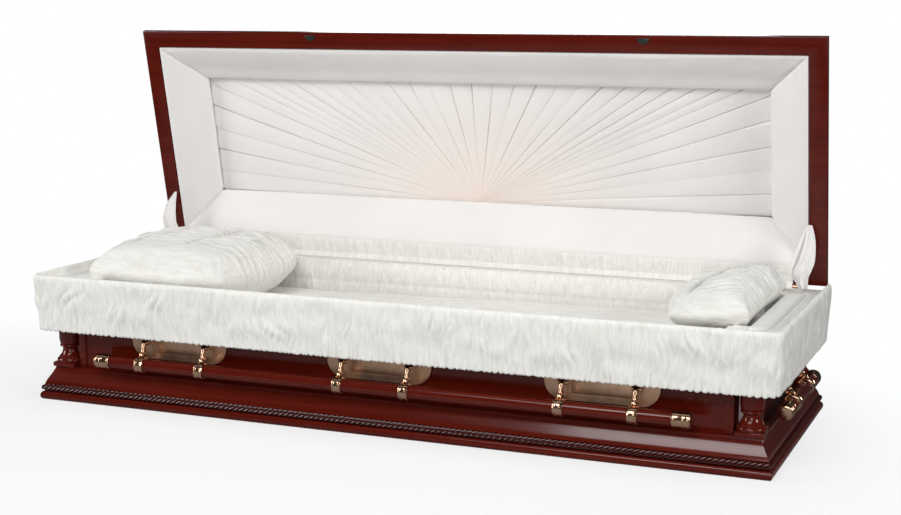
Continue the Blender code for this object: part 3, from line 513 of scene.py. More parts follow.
def copied_node(node, ease=0.0):
    """A merged copy of a CAD solid, with its edges eased by a small bevel."""
    bm = bmesh.new()
    bm.from_mesh(frame["nodes"][node].data)
    bmesh.ops.remove_doubles(bm, verts=bm.verts[:], dist=1e-6)
    bmesh.ops.dissolve_limit(bm, angle_limit=math.radians(1.0), verts=bm.verts[:], edges=bm.edges[:])
    if ease:
        sharp = [edge for edge in bm.edges if edge.is_manifold and edge.calc_face_angle() > math.radians(50)]
        bmesh.ops.bevel(
            bm, geom=sharp, offset=ease, offset_type="OFFSET", affect="EDGES", segments=2, profile=0.5,
            clamp_overlap=True, material=-1)
    return bm


def base_profile():
    """Bullnose foot, channel for the rope, and a flare with a small step under its top."""
    channel = ROPE_SETBACK + 2 * ROPE_RADIUS + GAP
    channel_top = BULLNOSE_HEIGHT + 2 * ROPE_RADIUS + 2 * GAP
    rise = BASE_HEIGHT - channel_top
    foot = smooth_line([(0.005, 0.0), (0.0012, 0.004), (0.0, 0.010), (0.0014, 0.017), (0.006, 0.0222)], 5)
    flare = smooth_line([
        (0.33 * FLARE_TOP, channel_top + 0.03 * rise),
        (0.42 * FLARE_TOP, channel_top + 0.20 * rise),
        (0.60 * FLARE_TOP, channel_top + 0.42 * rise),
        (0.80 * FLARE_TOP, channel_top + 0.66 * rise),
        (0.90 * FLARE_TOP, channel_top + 0.82 * rise),
    ], 5)
    top = [(0.955 * FLARE_TOP, channel_top + 0.845 * rise), (0.965 * FLARE_TOP, channel_top + 0.93 * rise)]
    round_top = [(FLARE_TOP, BASE_HEIGHT - 0.0008), (FLARE_TOP + 0.0012, BASE_HEIGHT)]
    deep = (BASE_WIDTH - BOX_WIDTH) / 2 - GAP
    inner = [(deep, BASE_HEIGHT), (deep, 0.0)]
    groove = [(channel, BULLNOSE_HEIGHT), (channel, channel_top)]
    lip = [(0.30 * FLARE_TOP, channel_top), (0.32 * FLARE_TOP, channel_top + 0.01 * rise)]
    return [*foot, *groove, *lip, *flare, *top, *round_top, *inner]


def make_base(wood, carved):
    """The mitred base moulding and the carved rope let into it."""
    bm = mitred_frame(base_profile(), BASE_LENGTH, BASE_WIDTH)
    lay_grain(bm)
    shade_piece(bm, "base_frame", wood, ["base_moulding"], crease=28.0)
    bm = bmesh.new()
    crest = bm.verts.layers.float.new("crest")
    reach = ROPE_SETBACK + ROPE_RADIUS
    half_x = BASE_LENGTH / 2 - reach
    half_y = BASE_WIDTH / 2 - reach
    for half, turn, out in ((half_x, 0, half_y), (half_y, 90, half_x), (half_x, 180, half_y), (half_y, 270, half_x)):
        side = rope_bar(half, out, crest.name)
        side.transform(Matrix.Rotation(math.radians(turn), 4, "Z"))
        bm.from_mesh(side)
        bpy.data.meshes.remove(side)
    piece = shade_piece(bm, "carved_rope", carved, ["rope_moulding"], crease=60.0)
    return piece


def rope_bar(half, out, crest_name):
    """One side of the rope: strands twisted about X, cut off to its mitres."""
    bm = bmesh.new()
    crest = bm.verts.layers.float.new(crest_name)
    height = BULLNOSE_HEIGHT + GAP + ROPE_RADIUS
    centre = Vector((-half - 2 * ROPE_RADIUS, -out, height))
    strands = 6
    valley = 0.74
    points = []
    for i in range(6 * strands):
        angle = math.tau * i / (6 * strands)
        lobe = abs(math.sin(strands * angle / 2)) ** 0.7
        radius = ROPE_RADIUS * (valley + (1 - valley) * lobe)
        points.append(centre + Vector((0.0, radius * math.cos(angle), radius * math.sin(angle))))
    edges = chain(bm, points)
    # crest: 0 in the grooves, 1 on the strands; the carved finish darkens the grooves with it as painted shade.
    for vert in bm.verts:
        vert[crest] = ((vert.co - centre).length / ROPE_RADIUS - valley) / (1 - valley)
    run = 2 * half + 4 * ROPE_RADIUS
    steps = round(run / sizes().rope_pitch * 4)
    bmesh.ops.spin(
        bm, geom=[*bm.verts[:], *edges], cent=centre, axis=(1, 0, 0), dvec=(run / steps, 0, 0),
        angle=-math.tau * run / (strands * sizes().rope_pitch), steps=steps)
    for sign in (-1, 1):
        cut = bmesh.ops.bisect_plane(
            bm, geom=[*bm.verts, *bm.edges, *bm.faces], plane_co=(sign * half, -out, height),
            plane_no=(sign, 1, 0), clear_outer=True)
        rim = [item for item in cut["geom_cut"] if isinstance(item, bmesh.types.BMEdge)]
        bmesh.ops.contextual_create(bm, geom=rim)
    bmesh.ops.recalc_face_normals(bm, faces=bm.faces[:])
    mesh = bpy.data.meshes.new("rope_side")
    bm.to_mesh(mesh)
    bm.free()
    return mesh


def make_box(wood):
    """The box with its stiles, the turned columns and the moulded rail round the top."""
    bm = copied_node("carcase", ease=0.0012)
    lay_grain(bm)
    shade_piece(bm, "casket_box", wood, ["carcase"], crease=30.0)
    rail = (RIM_WIDTH - BOX_WIDTH) / 2 + WALL
    end_rail = (RIM_LENGTH - BOX_LENGTH) / 2 + WALL
    low = RIM_TOP - RIM_THICKNESS
    cove = smooth_line([(0.52 * rail, low + 0.001), (0.44 * rail, low + 0.0050), (0.30 * rail, low + 0.0082),
                        (0.12 * rail, low + 0.0094)], 4)
    edge = smooth_line([(0.03 * rail, low + 0.0100), (0.004 * rail, low + 0.0128), (0.0, RIM_TOP - 0.006),
                        (0.004 * rail, RIM_TOP - 0.0015), (0.03 * rail, RIM_TOP)], 4)
    profile = [(rail, low), (0.55 * rail, low), *cove, *edge, (rail, RIM_TOP)]
    bm = mitred_frame(profile, RIM_LENGTH, RIM_WIDTH, end_scale=end_rail / rail)
    lay_grain(bm)
    shade_piece(bm, "moulded_rail", wood, ["rim_rail"], crease=28.0)
    for side_y in ("front", "rear"):
        for side_x in ("head", "foot"):
            make_column(f"column_{side_y}_{side_x}", wood)


def make_column(node, wood):
    """A turned shaft between two square plinths."""
    low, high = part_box(node)
    middle = (low + high) / 2
    rise = high.z - low.z
    r = COLUMN_RADIUS
    foot = smooth_line([(1.04 * r, 0.0110), (1.10 * r, 0.0140), (1.12 * r, 0.0180), (1.08 * r, 0.0222),
                        (0.98 * r, 0.0246)], 4)
    fillet = [(0.93 * r, 0.0250), (0.93 * r, 0.0285)]
    cove = smooth_line([(0.88 * r, 0.0295), (0.70 * r, 0.0380), (0.62 * r, 0.0480), (0.63 * r, 0.0530)], 4)
    bead = smooth_line([(0.67 * r, 0.0545), (0.80 * r, 0.0570), (0.86 * r, 0.0600), (0.80 * r, 0.0630),
                        (0.74 * r, 0.0645)], 4)
    lower = [*foot, *fillet, *cove, *bead, (0.84 * r, 0.0675), (0.89 * r, 0.0760)]
    swell = [(0.92 * r, rise / 2)]
    half = [Vector(point) for point in lower]
    upper = [Vector((radius, rise - height)) for radius, height in reversed(half)]
    bm = bmesh.new()
    points = [(radius, 0.0, height) for radius, height in (*half, *swell, *upper)]
    edges = chain(bm, points, closed=False)
    bmesh.ops.spin(bm, geom=[*bm.verts[:], *edges], cent=(0, 0, 0), axis=(0, 0, 1), angle=math.tau,
                   steps=40, use_merge=True)
    for ring in ([e for e in bm.edges if e.is_boundary and e.verts[0].co.z < rise / 2],
                 [e for e in bm.edges if e.is_boundary and e.verts[0].co.z > rise / 2]):
        bmesh.ops.contextual_create(bm, geom=ring)
    bmesh.ops.recalc_face_normals(bm, faces=bm.faces[:])
    for height in (PLINTH_HEIGHT / 2, rise - PLINTH_HEIGHT / 2):
        size = (2 * PLINTH_HALF, 2 * PLINTH_HALF, PLINTH_HEIGHT, 1.0)
        block = bmesh.ops.create_cube(bm, size=1.0, matrix=Matrix.Translation((0, 0, height)) @ Matrix.Diagonal(size))
        edges = {edge for vert in block["verts"] for edge in vert.link_edges}
        bmesh.ops.bevel(bm, geom=list(edges), offset=0.0011, offset_type="OFFSET", affect="EDGES", segments=2,
                        profile=0.5, clamp_overlap=True, material=-1)
    lay_grain(bm, upright=True)
    bm.transform(Matrix.Translation((middle.x, middle.y, low.z)))
    shade_piece(bm, f"turned_{node}", wood, [node], crease=32.0)


def raised(bm):
    """Raises a lid piece that was drawn shut."""
    bm.transform(LID_PLACE)
    return bm


def make_lid_wood(wood, metal, copper):
    """The lid's mitred frame, its moulded crown, the two catches and the long hinge."""
    rim = [(LID_FRAME, 0.0), (LID_FRAME - 0.0006, 0.0)]
    outer = smooth_line([(0.0016, 0.0), (0.0004, 0.0005), (0.0, 0.0018)], 3)
    step = smooth_line([(0.0, 0.0165), (0.0012, 0.0190), (0.0045, 0.0204), (0.0090, 0.0222), (0.0118, 0.0262),
                        (0.0120, 0.0292)], 4)
    rim = [*rim, *outer, *step, (0.0124, LID_RIM_HEIGHT), (LID_FRAME, LID_RIM_HEIGHT)]
    bm = mitred_frame(rim, RIM_LENGTH, RIM_WIDTH)
    lay_grain(bm)
    shade_piece(raised(bm), "lid_frame", wood, ["lid_rim"], "lid", crease=28.0)
    low = LID_RIM_HEIGHT + GAP
    rise = LID_HEIGHT - low
    across = LID_FRAME + BORDER_WIDTH - LID_STEP
    skin = [(LID_STEP, low), (LID_STEP, low + 0.035 * rise)]
    skin += smooth_line([(LID_STEP + 0.012 * across, low + 0.055 * rise),
                         (LID_STEP + 0.05 * across, low + 0.13 * rise),
                         (LID_STEP + 0.19 * across, low + 0.26 * rise),
                         (LID_STEP + 0.45 * across, low + 0.45 * rise),
                         (LID_STEP + 0.62 * across, low + 0.64 * rise),
                         (LID_STEP + 0.72 * across, low + 0.78 * rise),
                         (LID_STEP + 0.84 * across, low + 0.90 * rise)], 6)
    skin += smooth_line([(LID_STEP + 0.93 * across, low + 0.925 * rise),
                         (LID_STEP + 0.95 * across, low + 0.965 * rise),
                         (LID_STEP + 0.99 * across, low + 0.990 * rise),
                         (LID_STEP + 1.06 * across, low + rise)], 4)
    bm = mitred_frame(skin, RIM_LENGTH, RIM_WIDTH, closed=False)
    top = [edge for edge in bm.edges if edge.is_boundary and edge.verts[0].co.z > low + 0.98 * rise]
    bmesh.ops.contextual_create(bm, geom=top)
    bmesh.ops.recalc_face_normals(bm, faces=bm.faces[:])
    outward = max(bm.faces, key=lambda face: face.calc_area())
    if outward.normal.z < 0:
        bmesh.ops.reverse_faces(bm, faces=bm.faces[:])
    lay_grain(bm)
    crown = shade_piece(raised(bm), "moulded_crown", wood, ["lid_crown"], "lid", crease=25.0)
    thicken(crown, 0.012)
    for node in ("catch_head", "catch_foot"):
        bm = copied_node(node, ease=0.0004)
        shade_piece(bm, f"strike_{node}", metal, [node], "lid")
    for node, body in (("hinge_body_leaf", "casket"), ("hinge_lid_leaf", "lid")):
        frame["nodes"][node].data.materials.clear()
        frame["nodes"][node].data.materials.append(copper)


def stadium(bm, length, width, out):
    """A round-ended face in the plane y = out."""
    count = 48
    turn = Matrix.Rotation(math.pi / 2, 4, "X") @ Matrix.Rotation(math.pi / count, 4, "Z")
    ring = bmesh.ops.create_circle(bm, cap_ends=True, segments=count, radius=width / 2,
                                   matrix=Matrix.Translation((0, out, 0)) @ turn)["verts"]
    for vert in ring:
        vert.co.x += math.copysign((length - width) / 2, vert.co.x)
    face = ring[0].link_faces[0]
    if face.normal.y < 0:
        bmesh.ops.reverse_faces(bm, faces=[face])
    return face


def raise_steps(bm, face, steps):
    """Insets the face step by step; each step is (inset, lift)."""
    for inset, lift in steps:
        bmesh.ops.inset_region(bm, faces=[face], thickness=inset, depth=lift, use_even_offset=True)
    return face


def add_plate(bm, matrix):
    """A dished plate with a polished double bead, and two pairs of round-ended ears."""
    plate = bmesh.new()
    face = stadium(plate, PLATE_LENGTH, PLATE_WIDTH, GAP)
    back = [edge for edge in face.edges]
    raise_steps(plate, face, (
        (0.00001, 0.0036), (0.0006, 0.0020), (0.0011, 0.0014), (0.0017, 0.0006), (0.0017, -0.0006),
        (0.0011, -0.0014), (0.0006, -0.0020), (0.0020, -0.0006), (0.0040, 0.0006), (0.0060, 0.0013),
        (0.0060, 0.0009), (0.0080, 0.0005)))
    bmesh.ops.contextual_create(plate, geom=back)
    for face in plate.faces:
        centre = face.calc_center_median()
        past = max(0.0, abs(centre.x) - (PLATE_LENGTH - PLATE_WIDTH) / 2)
        face.material_index = int(PLATE_WIDTH / 2 - math.hypot(past, centre.z) < 0.0085)
    tray = (2 * ARM_SPREAD - 0.030, 0.0074, 0.066, 1.0)
    made = bmesh.ops.create_cube(plate, size=1.0, matrix=Matrix.Translation((0, 0.0050, 0)) @ Matrix.Diagonal(tray))
    front = [e for e in {e for v in made["verts"] for e in v.link_edges} if all(v.co.y > 0.0080 for v in e.verts)]
    bmesh.ops.bevel(plate, geom=front, offset=0.0065, offset_type="OFFSET", affect="EDGES", segments=2,
                    profile=0.5, clamp_overlap=True, material=-1)
    room = BARREL_LENGTH / 2 + GAP
    ear = 0.004
    reach = PIVOT_OUT + BARREL_RADIUS
    for centre in (-ARM_SPREAD, ARM_SPREAD):
        for side in (-1, 1):
            x = centre + side * (room + ear / 2)
            size = (ear, reach - 0.002, 2 * BARREL_RADIUS, 1.0)
            place = Matrix.Translation((x, (reach + 0.002) / 2, 0.0)) @ Matrix.Diagonal(size)
            made = bmesh.ops.create_cube(plate, size=1.0, matrix=place)["verts"]
            front = [e for e in {e for v in made for e in v.link_edges}
                     if all(v.co.y > reach - 0.001 for v in e.verts) and e.verts[0].co.z * e.verts[1].co.z > 0]
            bmesh.ops.bevel(plate, geom=front, offset=0.0055, offset_type="OFFSET", affect="EDGES", segments=6,
                            profile=0.5, clamp_overlap=True, material=-1)
            pin = Matrix.Translation((x + side * ear * 0.6, PIVOT_OUT, 0.0)) @ Matrix.Rotation(math.pi / 2, 4, "Y")
            bmesh.ops.create_uvsphere(plate, u_segments=12, v_segments=8, radius=0.0034, matrix=pin)
    plate.transform(matrix)
    join(bm, plate)


def join(bm, other):
    """Adds one bmesh to another and frees it."""
    mesh = bpy.data.meshes.new("joined")
    other.to_mesh(mesh)
    other.free()
    bm.from_mesh(mesh)
    bpy.data.meshes.remove(mesh)


def turned(bm, profile, centre, sides=32):
    """Turns a profile of (along x, radius) about the X axis through the centre; a radius of 0 closes it."""
    spun = bmesh.new()
    edges = chain(spun, [(x, 0.0, radius) for x, radius in profile], closed=profile[0][1] > 0)
    bmesh.ops.spin(spun, geom=[*spun.verts[:], *edges], cent=(0, 0, 0), axis=(1, 0, 0), angle=math.tau,
                   steps=sides, use_merge=True)
    bmesh.ops.remove_doubles(spun, verts=spun.verts[:], dist=1e-6)
    bmesh.ops.recalc_face_normals(spun, faces=spun.faces[:])
    spun.transform(Matrix.Translation(centre))
    join(bm, spun)


def bezier(points, share):
    a, b, c, d = points
    rest = 1 - share
    return a * rest**3 + b * 3 * rest**2 * share + c * 3 * rest * share**2 + d * share**3


def add_arm(bm, matrix):
    """A barrel on the pivot, a cast S-curved arm with two beads on its foot, and a collar round the bar."""
    arm = bmesh.new()
    bar = Vector((0.0, BAR_SWELL, -BAR_DROP))
    end = bar + Vector((0.0, -0.1 * COLLAR_RADIUS, 0.92 * COLLAR_RADIUS))
    guide = [Vector((0.0, 0.0, 0.0)), Vector((0.0, 0.70 * BAR_SWELL, -0.17 * BAR_DROP)),
             Vector((0.0, 0.07 * BAR_SWELL, -0.40 * BAR_DROP)), end]
    steps = 26
    places = []
    for i in range(steps + 1):
        share = i / steps
        ahead = bezier(guide, min(1.0, share + 0.02)) - bezier(guide, max(0.0, share - 0.02))
        bead = math.exp(-((share - 0.80) / 0.035) ** 2) + math.exp(-((share - 0.93) / 0.035) ** 2)
        crown = math.exp(-((share - 0.16) / 0.05) ** 2)
        half = 0.0084 + 0.0026 * share**1.5 + 0.0020 * bead + 0.0010 * crown
        thick = 0.0048 + 0.0010 * share + 0.0020 * bead + 0.0008 * crown
        turn = ahead.to_track_quat("Z", "X").to_matrix().to_4x4()
        places.append(Matrix.Translation(bezier(guide, share)) @ turn @ Matrix.Diagonal((half, thick, 1.0, 1.0)))
    ring = bmesh.ops.create_circle(arm, segments=16, radius=1.0, cap_ends=False)["verts"]
    for vert in ring:
        vert.co.x = math.copysign(abs(vert.co.x) ** 0.7, vert.co.x)
        vert.co.y = math.copysign(abs(vert.co.y) ** 0.7, vert.co.y)
    edges = list({edge for vert in ring for edge in vert.link_edges})
    bmesh.ops.contextual_create(arm, geom=edges)
    bmesh.ops.transform(arm, matrix=places[0], verts=ring)
    last = sweep(arm, edges, [after @ before.inverted() for before, after in zip(places, places[1:])])
    bmesh.ops.contextual_create(arm, geom=last)
    bmesh.ops.recalc_face_normals(arm, faces=arm.faces[:])
    half = BARREL_LENGTH / 2
    r = BARREL_RADIUS
    turned(arm, [(-half, 0.0), (-half, 0.8 * r), (-half + 0.001, r), (half - 0.001, r), (half, 0.8 * r), (half, 0.0)],
           (0, 0, 0), 20)
    half = COLLAR_LENGTH * 0.6
    r = COLLAR_RADIUS + 0.0008
    bore = BAR_RADIUS + GAP
    side = [(0.30 * half, r - 0.0010), (0.42 * half, r - 0.0012), (0.48 * half, r - 0.0002), (0.60 * half, r + 0.0008),
            (0.72 * half, r - 0.0002), (0.80 * half, r - 0.0008), (0.93 * half, r - 0.0004), (half, r - 0.0016),
            (half, bore)]
    profile = [(-x, radius) for x, radius in reversed(side)] + side
    turned(arm, profile, bar, 36)
    arm.transform(matrix)
    join(bm, arm)


def add_cap(bm, matrix):
    """An end cap with two bands, a groove between them and a low dome."""
    r = CAP_RADIUS
    whole = CAP_LENGTH
    profile = [(0.0, 0.0), (0.0, r - 0.0008), (0.0010, r)]
    for start, stop in ((0.02, 0.10), (0.50, 0.60), (0.74, 0.84)):
        profile += [(start * whole + 0.0006, r), (start * whole + 0.0016, r + 0.0006),
                    (stop * whole, r + 0.0006), (stop * whole + 0.0010, r), (stop * whole + 0.0016, r - 0.0012),
                    (stop * whole + 0.0028, r - 0.0012), (stop * whole + 0.0034, r - 0.0002)]
    profile += [(0.93 * whole, r - 0.0004), (0.965 * whole, r - 0.0022), (0.98 * whole, r - 0.0055),
                (0.992 * whole, 0.5 * r), (whole, 0.0)]
    cap = bmesh.new()
    turned(cap, profile, (0, 0, 0), 40)
    cap.transform(matrix)
    join(bm, cap)


def make_handle(side, direction, wall, wood, satin_copper, bright_copper):
    """The plates on one wall, and the arms, bar and caps that swing on them."""
    turn = Matrix.Rotation(direction - math.pi / 2, 4, "Z")
    out = Vector((math.cos(direction), math.sin(direction), 0.0))
    joint = Vector(JOINTS[f"handle_{side}_swing"]["pos_m"])
    on_wall = Matrix.Translation(joint - out * PIVOT_OUT) @ turn
    on_axis = Matrix.Translation(joint) @ turn
    plates = sorted(node for node in frame["nodes"] if node.startswith(f"plate_{side}_"))
    arms = sorted(node for node in frame["nodes"] if node.startswith(f"arm_{side}_"))
    caps = sorted(node for node in frame["nodes"] if node.startswith(f"cap_{side}_"))
    body = f"handle_{side}"
    plate_metal = bmesh.new()
    for node in plates:
        low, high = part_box(node)
        along = turn.inverted() @ ((low + high) / 2 - joint)
        add_plate(plate_metal, on_wall @ Matrix.Translation((along.x, 0.0, 0.0)))
    pieces = shade_piece(plate_metal, f"plates_{side}", satin_copper, plates, crease=40.0)
    pieces.data.materials.append(bright_copper)
    arm_metal = bmesh.new()
    for node in arms:
        low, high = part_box(node)
        along = turn.inverted() @ ((low + high) / 2 - joint)
        add_arm(arm_metal, on_axis @ Matrix.Translation((along.x, 0.0, 0.0)))
    shade_piece(arm_metal, f"arms_{side}", bright_copper, arms, body, crease=40.0)
    low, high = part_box(f"bar_{side}")
    half = max((high - low).x, (high - low).y) / 2
    bar = Vector((0.0, BAR_SWELL, -BAR_DROP))
    rod = bmesh.new()
    turned(rod, [(-half, 0.0), (-half, BAR_RADIUS - 0.001), (0.001 - half, BAR_RADIUS), (-half / 3, BAR_RADIUS),
                 (half / 3, BAR_RADIUS), (half - 0.001, BAR_RADIUS), (half, BAR_RADIUS - 0.001), (half, 0.0)],
           bar, 36)
    rod.transform(on_axis)
    lay_grain(rod)
    shade_piece(rod, f"rail_{side}", wood, [f"bar_{side}"], body)
    cap_metal = bmesh.new()
    for flip in (0.0, math.pi):
        end = Matrix.Translation(bar) @ Matrix.Rotation(flip, 4, "Z") @ Matrix.Translation((half + GAP, 0, 0))
        add_cap(cap_metal, on_axis @ end)
    shade_piece(cap_metal, f"caps_{side}", bright_copper, caps, body, crease=40.0)


def border_point(profile, side, share):
    """A point of the padded border: side 0 to 3 round the lid, share 0 to 1 from corner to corner."""
    inset, height = profile
    x = RIM_LENGTH / 2 - inset
    y = RIM_WIDTH / 2 - inset
    corners = (Vector((-x, -y, height)), Vector((x, -y, height)), Vector((x, y, height)), Vector((-x, y, height)))
    return corners[side].lerp(corners[(side + 1) % 4], share)


def make_lid_border(satin):
    """A padded border in four mitred lengths, with a rolled lip over the panel."""
    start = LID_FRAME + 2 * GAP
    across = BORDER_WIDTH
    depth = BORDER_DEPTH
    line = smooth_line([
        (start, 0.25 * depth), (start + 0.001, 0.03 * depth), (start + 0.06 * across, 0.015 * depth),
        (start + 0.16 * across, 0.07 * depth), (start + 0.40 * across, 0.27 * depth),
        (start + 0.68 * across, 0.55 * depth), (start + 0.88 * across, 0.71 * depth),
        (start + 0.985 * across, 0.82 * depth), (start + 1.0 * across, 0.90 * depth),
        (start + 0.97 * across, 0.985 * depth), (start + 0.86 * across, 0.999 * depth),
        (start + 0.70 * across, 0.99 * depth), (start + 0.30 * across, 0.58 * depth), (start, 0.25 * depth)], 5)
    rows = 56
    path = evenly(line, rows)
    bm = bmesh.new()
    for side in range(4):
        length = RIM_LENGTH if side % 2 == 0 else RIM_WIDTH
        columns = 210 if side % 2 == 0 else 60

        def place(along, round_it, side=side, length=length):
            share = 0.35 * (0.5 - 0.5 * math.cos(math.pi * along)) + 0.65 * along
            index = min(rows, round(round_it * rows))
            here = path[index]
            ahead = path[(index + 1) % rows] - path[index - 1 if index else rows - 1]
            outward = Vector((ahead.y, -ahead.x)).normalized()
            from_end = min(share, 1 - share) * length
            seam = math.exp(-((from_end / 0.006) ** 2))
            free = 1 - math.exp(-((from_end / 0.030) ** 2))
            run = share * length
            tug = abs(ripple(run / 0.045, round_it * 5.0, 3.0 + side)) * math.exp(-(((index - 9) / 5.0) ** 2))
            swell = ripple(run / 0.30, round_it * 3.0, 11.0 + side) + 0.4 * ripple(run / 0.09, round_it * 6.0, 17.0 + side)
            dent = free * (0.0016 * swell - 0.0022 * tug) - 0.0035 * seam
            face = 1.0 if 6 <= index <= 44 else 0.0
            moved = here + outward * dent * face
            return border_point(moved, side, share)

        strip = cloth_grid(columns, rows, place, (length, 0.36))
        join(bm, strip)
    bmesh.ops.remove_doubles(bm, verts=bm.verts[:], dist=2e-5)
    bmesh.ops.recalc_face_normals(bm, faces=bm.faces[:])
    piece = shade_piece(raised(bm), "padded_border", satin, ["lid_border"], "lid", crease=60.0)


def make_sunburst(satin):
    """Knife pleats that fan out from the middle of the hinge side to the panel's other three edges."""
    inset = LID_FRAME + 2 * GAP + 0.80 * BORDER_WIDTH
    half_x = RIM_LENGTH / 2 - inset
    half_y = RIM_WIDTH / 2 - inset
    front = BORDER_DEPTH + 2 * GAP
    eye = Vector((0.0, half_y - 0.016))
    rise = eye.y + half_y
    whole = 2 * rise + 2 * half_x
    pleats = sizes().pleats
    shares = (0.0, 0.035, 0.12, 0.26, 0.42, 0.60, 0.78, 0.92, 0.985)
    samples = len(shares)

    def edge_point(run):
        if run <= rise:
            return Vector((half_x, eye.y - run))
        if run <= rise + 2 * half_x:
            return Vector((half_x - (run - rise), -half_y))
        return Vector((-half_x, run - rise - 2 * half_x - half_y))

    def place(along, out):
        index = round(along * pleats * samples)
        pleat, step = divmod(index, samples)
        share = shares[step]
        drift = 0.10 * ripple(pleat * 1.7, out * 1.3, 2.0)
        run = (pleat + share + drift * (0 < along < 1)) * whole / pleats
        edge = edge_point(min(whole, max(0.0, run)))
        reach = 0.004 + 0.996 * out**0.85
        here = eye + (edge - eye) * reach
        fold = 0.55 * share + 0.30 * math.sin(math.pi * share) if step else -0.75
        lift = sizes().pleat_rise * (0.10 + 0.90 * min(1.0, out * 1.3)) * fold
        soft = 0.0012 * ripple(run * 9.0, out * 6.0, 5.0) * out
        return Vector((here.x, here.y, front + sizes().pleat_rise - min(sizes().pleat_rise, lift + soft)))

    bm = cloth_grid(pleats * samples, 34, place, (whole, 0.42))
    blush = bm.verts.layers.float.new("blush")
    for vert in bm.verts:
        away = ((vert.co.x / 0.34) ** 2 + ((vert.co.y - eye.y) / 0.24) ** 2) ** 0.5
        vert[blush] = math.exp(-(away**1.5)) * 0.85
    bmesh.ops.remove_doubles(bm, verts=[v for v in bm.verts if (v.co.xy - eye).length < 0.0005], dist=1e-4)
    panel = shade_piece(raised(bm), "pleated_panel", satin, ["sunburst_panel"], "lid", crease=50.0)
    thicken(panel, 0.0012, 1.0 if panel.data.polygons[0].normal.y > 0 else -1.0)
    pleated_length = 1.35 * whole


def make_rail_shirring(cloth):
    """The gathered strip on the hinge-side rail of the lid."""
    half_x = BOX_LENGTH / 2 - WALL - 0.019
    edge = RIM_WIDTH / 2 - 0.003
    inner = RIM_WIDTH / 2 - LID_FRAME - 0.004
    width = edge - inner

    def place(along, down):
        fold = gathers(along * 2 * half_x, down * 0.5, 31.0, 0.0095)
        x = -half_x + 2 * half_x * along + 0.0015 * ripple(along * 90.0, down * 2.0, 4.0)
        ends = min(1.0, 5.0 * min(down, 1 - down))
        return Vector((x, inner + width * down, -GAP - 0.0008 - 0.0026 * fold * ends))

    bm = cloth_grid(1200, 12, place, (2 * half_x, width))
    strip = shade_piece(raised(bm), "shirred_rail", cloth, ["rail_shirring"], "lid", crease=70.0)
    thicken(strip, 0.0004, 0.0)


def make_hinge_cover(cloth):
    """The gathered strip that hides the hinge, sewn to the rim's cloth and to the lid's."""
    half_x = BOX_LENGTH / 2 - WALL - 0.021
    line = smooth_line([(HINGE.y - 0.0100, RIM_TOP + 0.0006), (HINGE.y - 0.0072, RIM_TOP + 0.0050),
                        (HINGE.y - 0.0058, RIM_TOP + 0.0095), (HINGE.y - 0.0015, RIM_TOP + 0.0135),
                        (HINGE.y + 0.0012, RIM_TOP + 0.0160)], 4)
    rows = len(line) - 1

    def place(along, down):
        height, rise = line[round(down * rows)]
        fold = gathers(along * 2 * half_x, 0.0, 37.0, 0.010)
        ends = min(1.0, 5.0 * min(down, 1 - down))
        return Vector((-half_x + 2 * half_x * along, height - 0.0012 * fold * ends, rise))

    width = sum((b - a).length for a, b in zip(line, line[1:]))
    bm = cloth_grid(1000, rows, place, (2 * half_x, width))
    cover = shade_piece(bm, "hinge_cover", cloth, [], body=None, crease=70.0)
    thicken(cover, 0.0004, 0.0)
    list(line[0])
    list(line[-1])
    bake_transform(cover)


def lining_path():
    """The inner outline of the lining as a line of points round the box, from the rear head corner."""
    half_x = BOX_LENGTH / 2 - WALL - 0.0153
    half_y = BOX_WIDTH / 2 - WALL - 0.0153
    notch = 0.052
    quarter = [(half_x - notch, half_y), (half_x - notch, half_y - notch), (half_x, half_y - notch)]
    points = [(-x, y) for x, y in reversed(quarter)] + quarter
    points += [(x, -y) for x, y in reversed(quarter)] + [(-x, -y) for x, y in quarter]
    return [Vector(point) for point in points + [points[0]]]


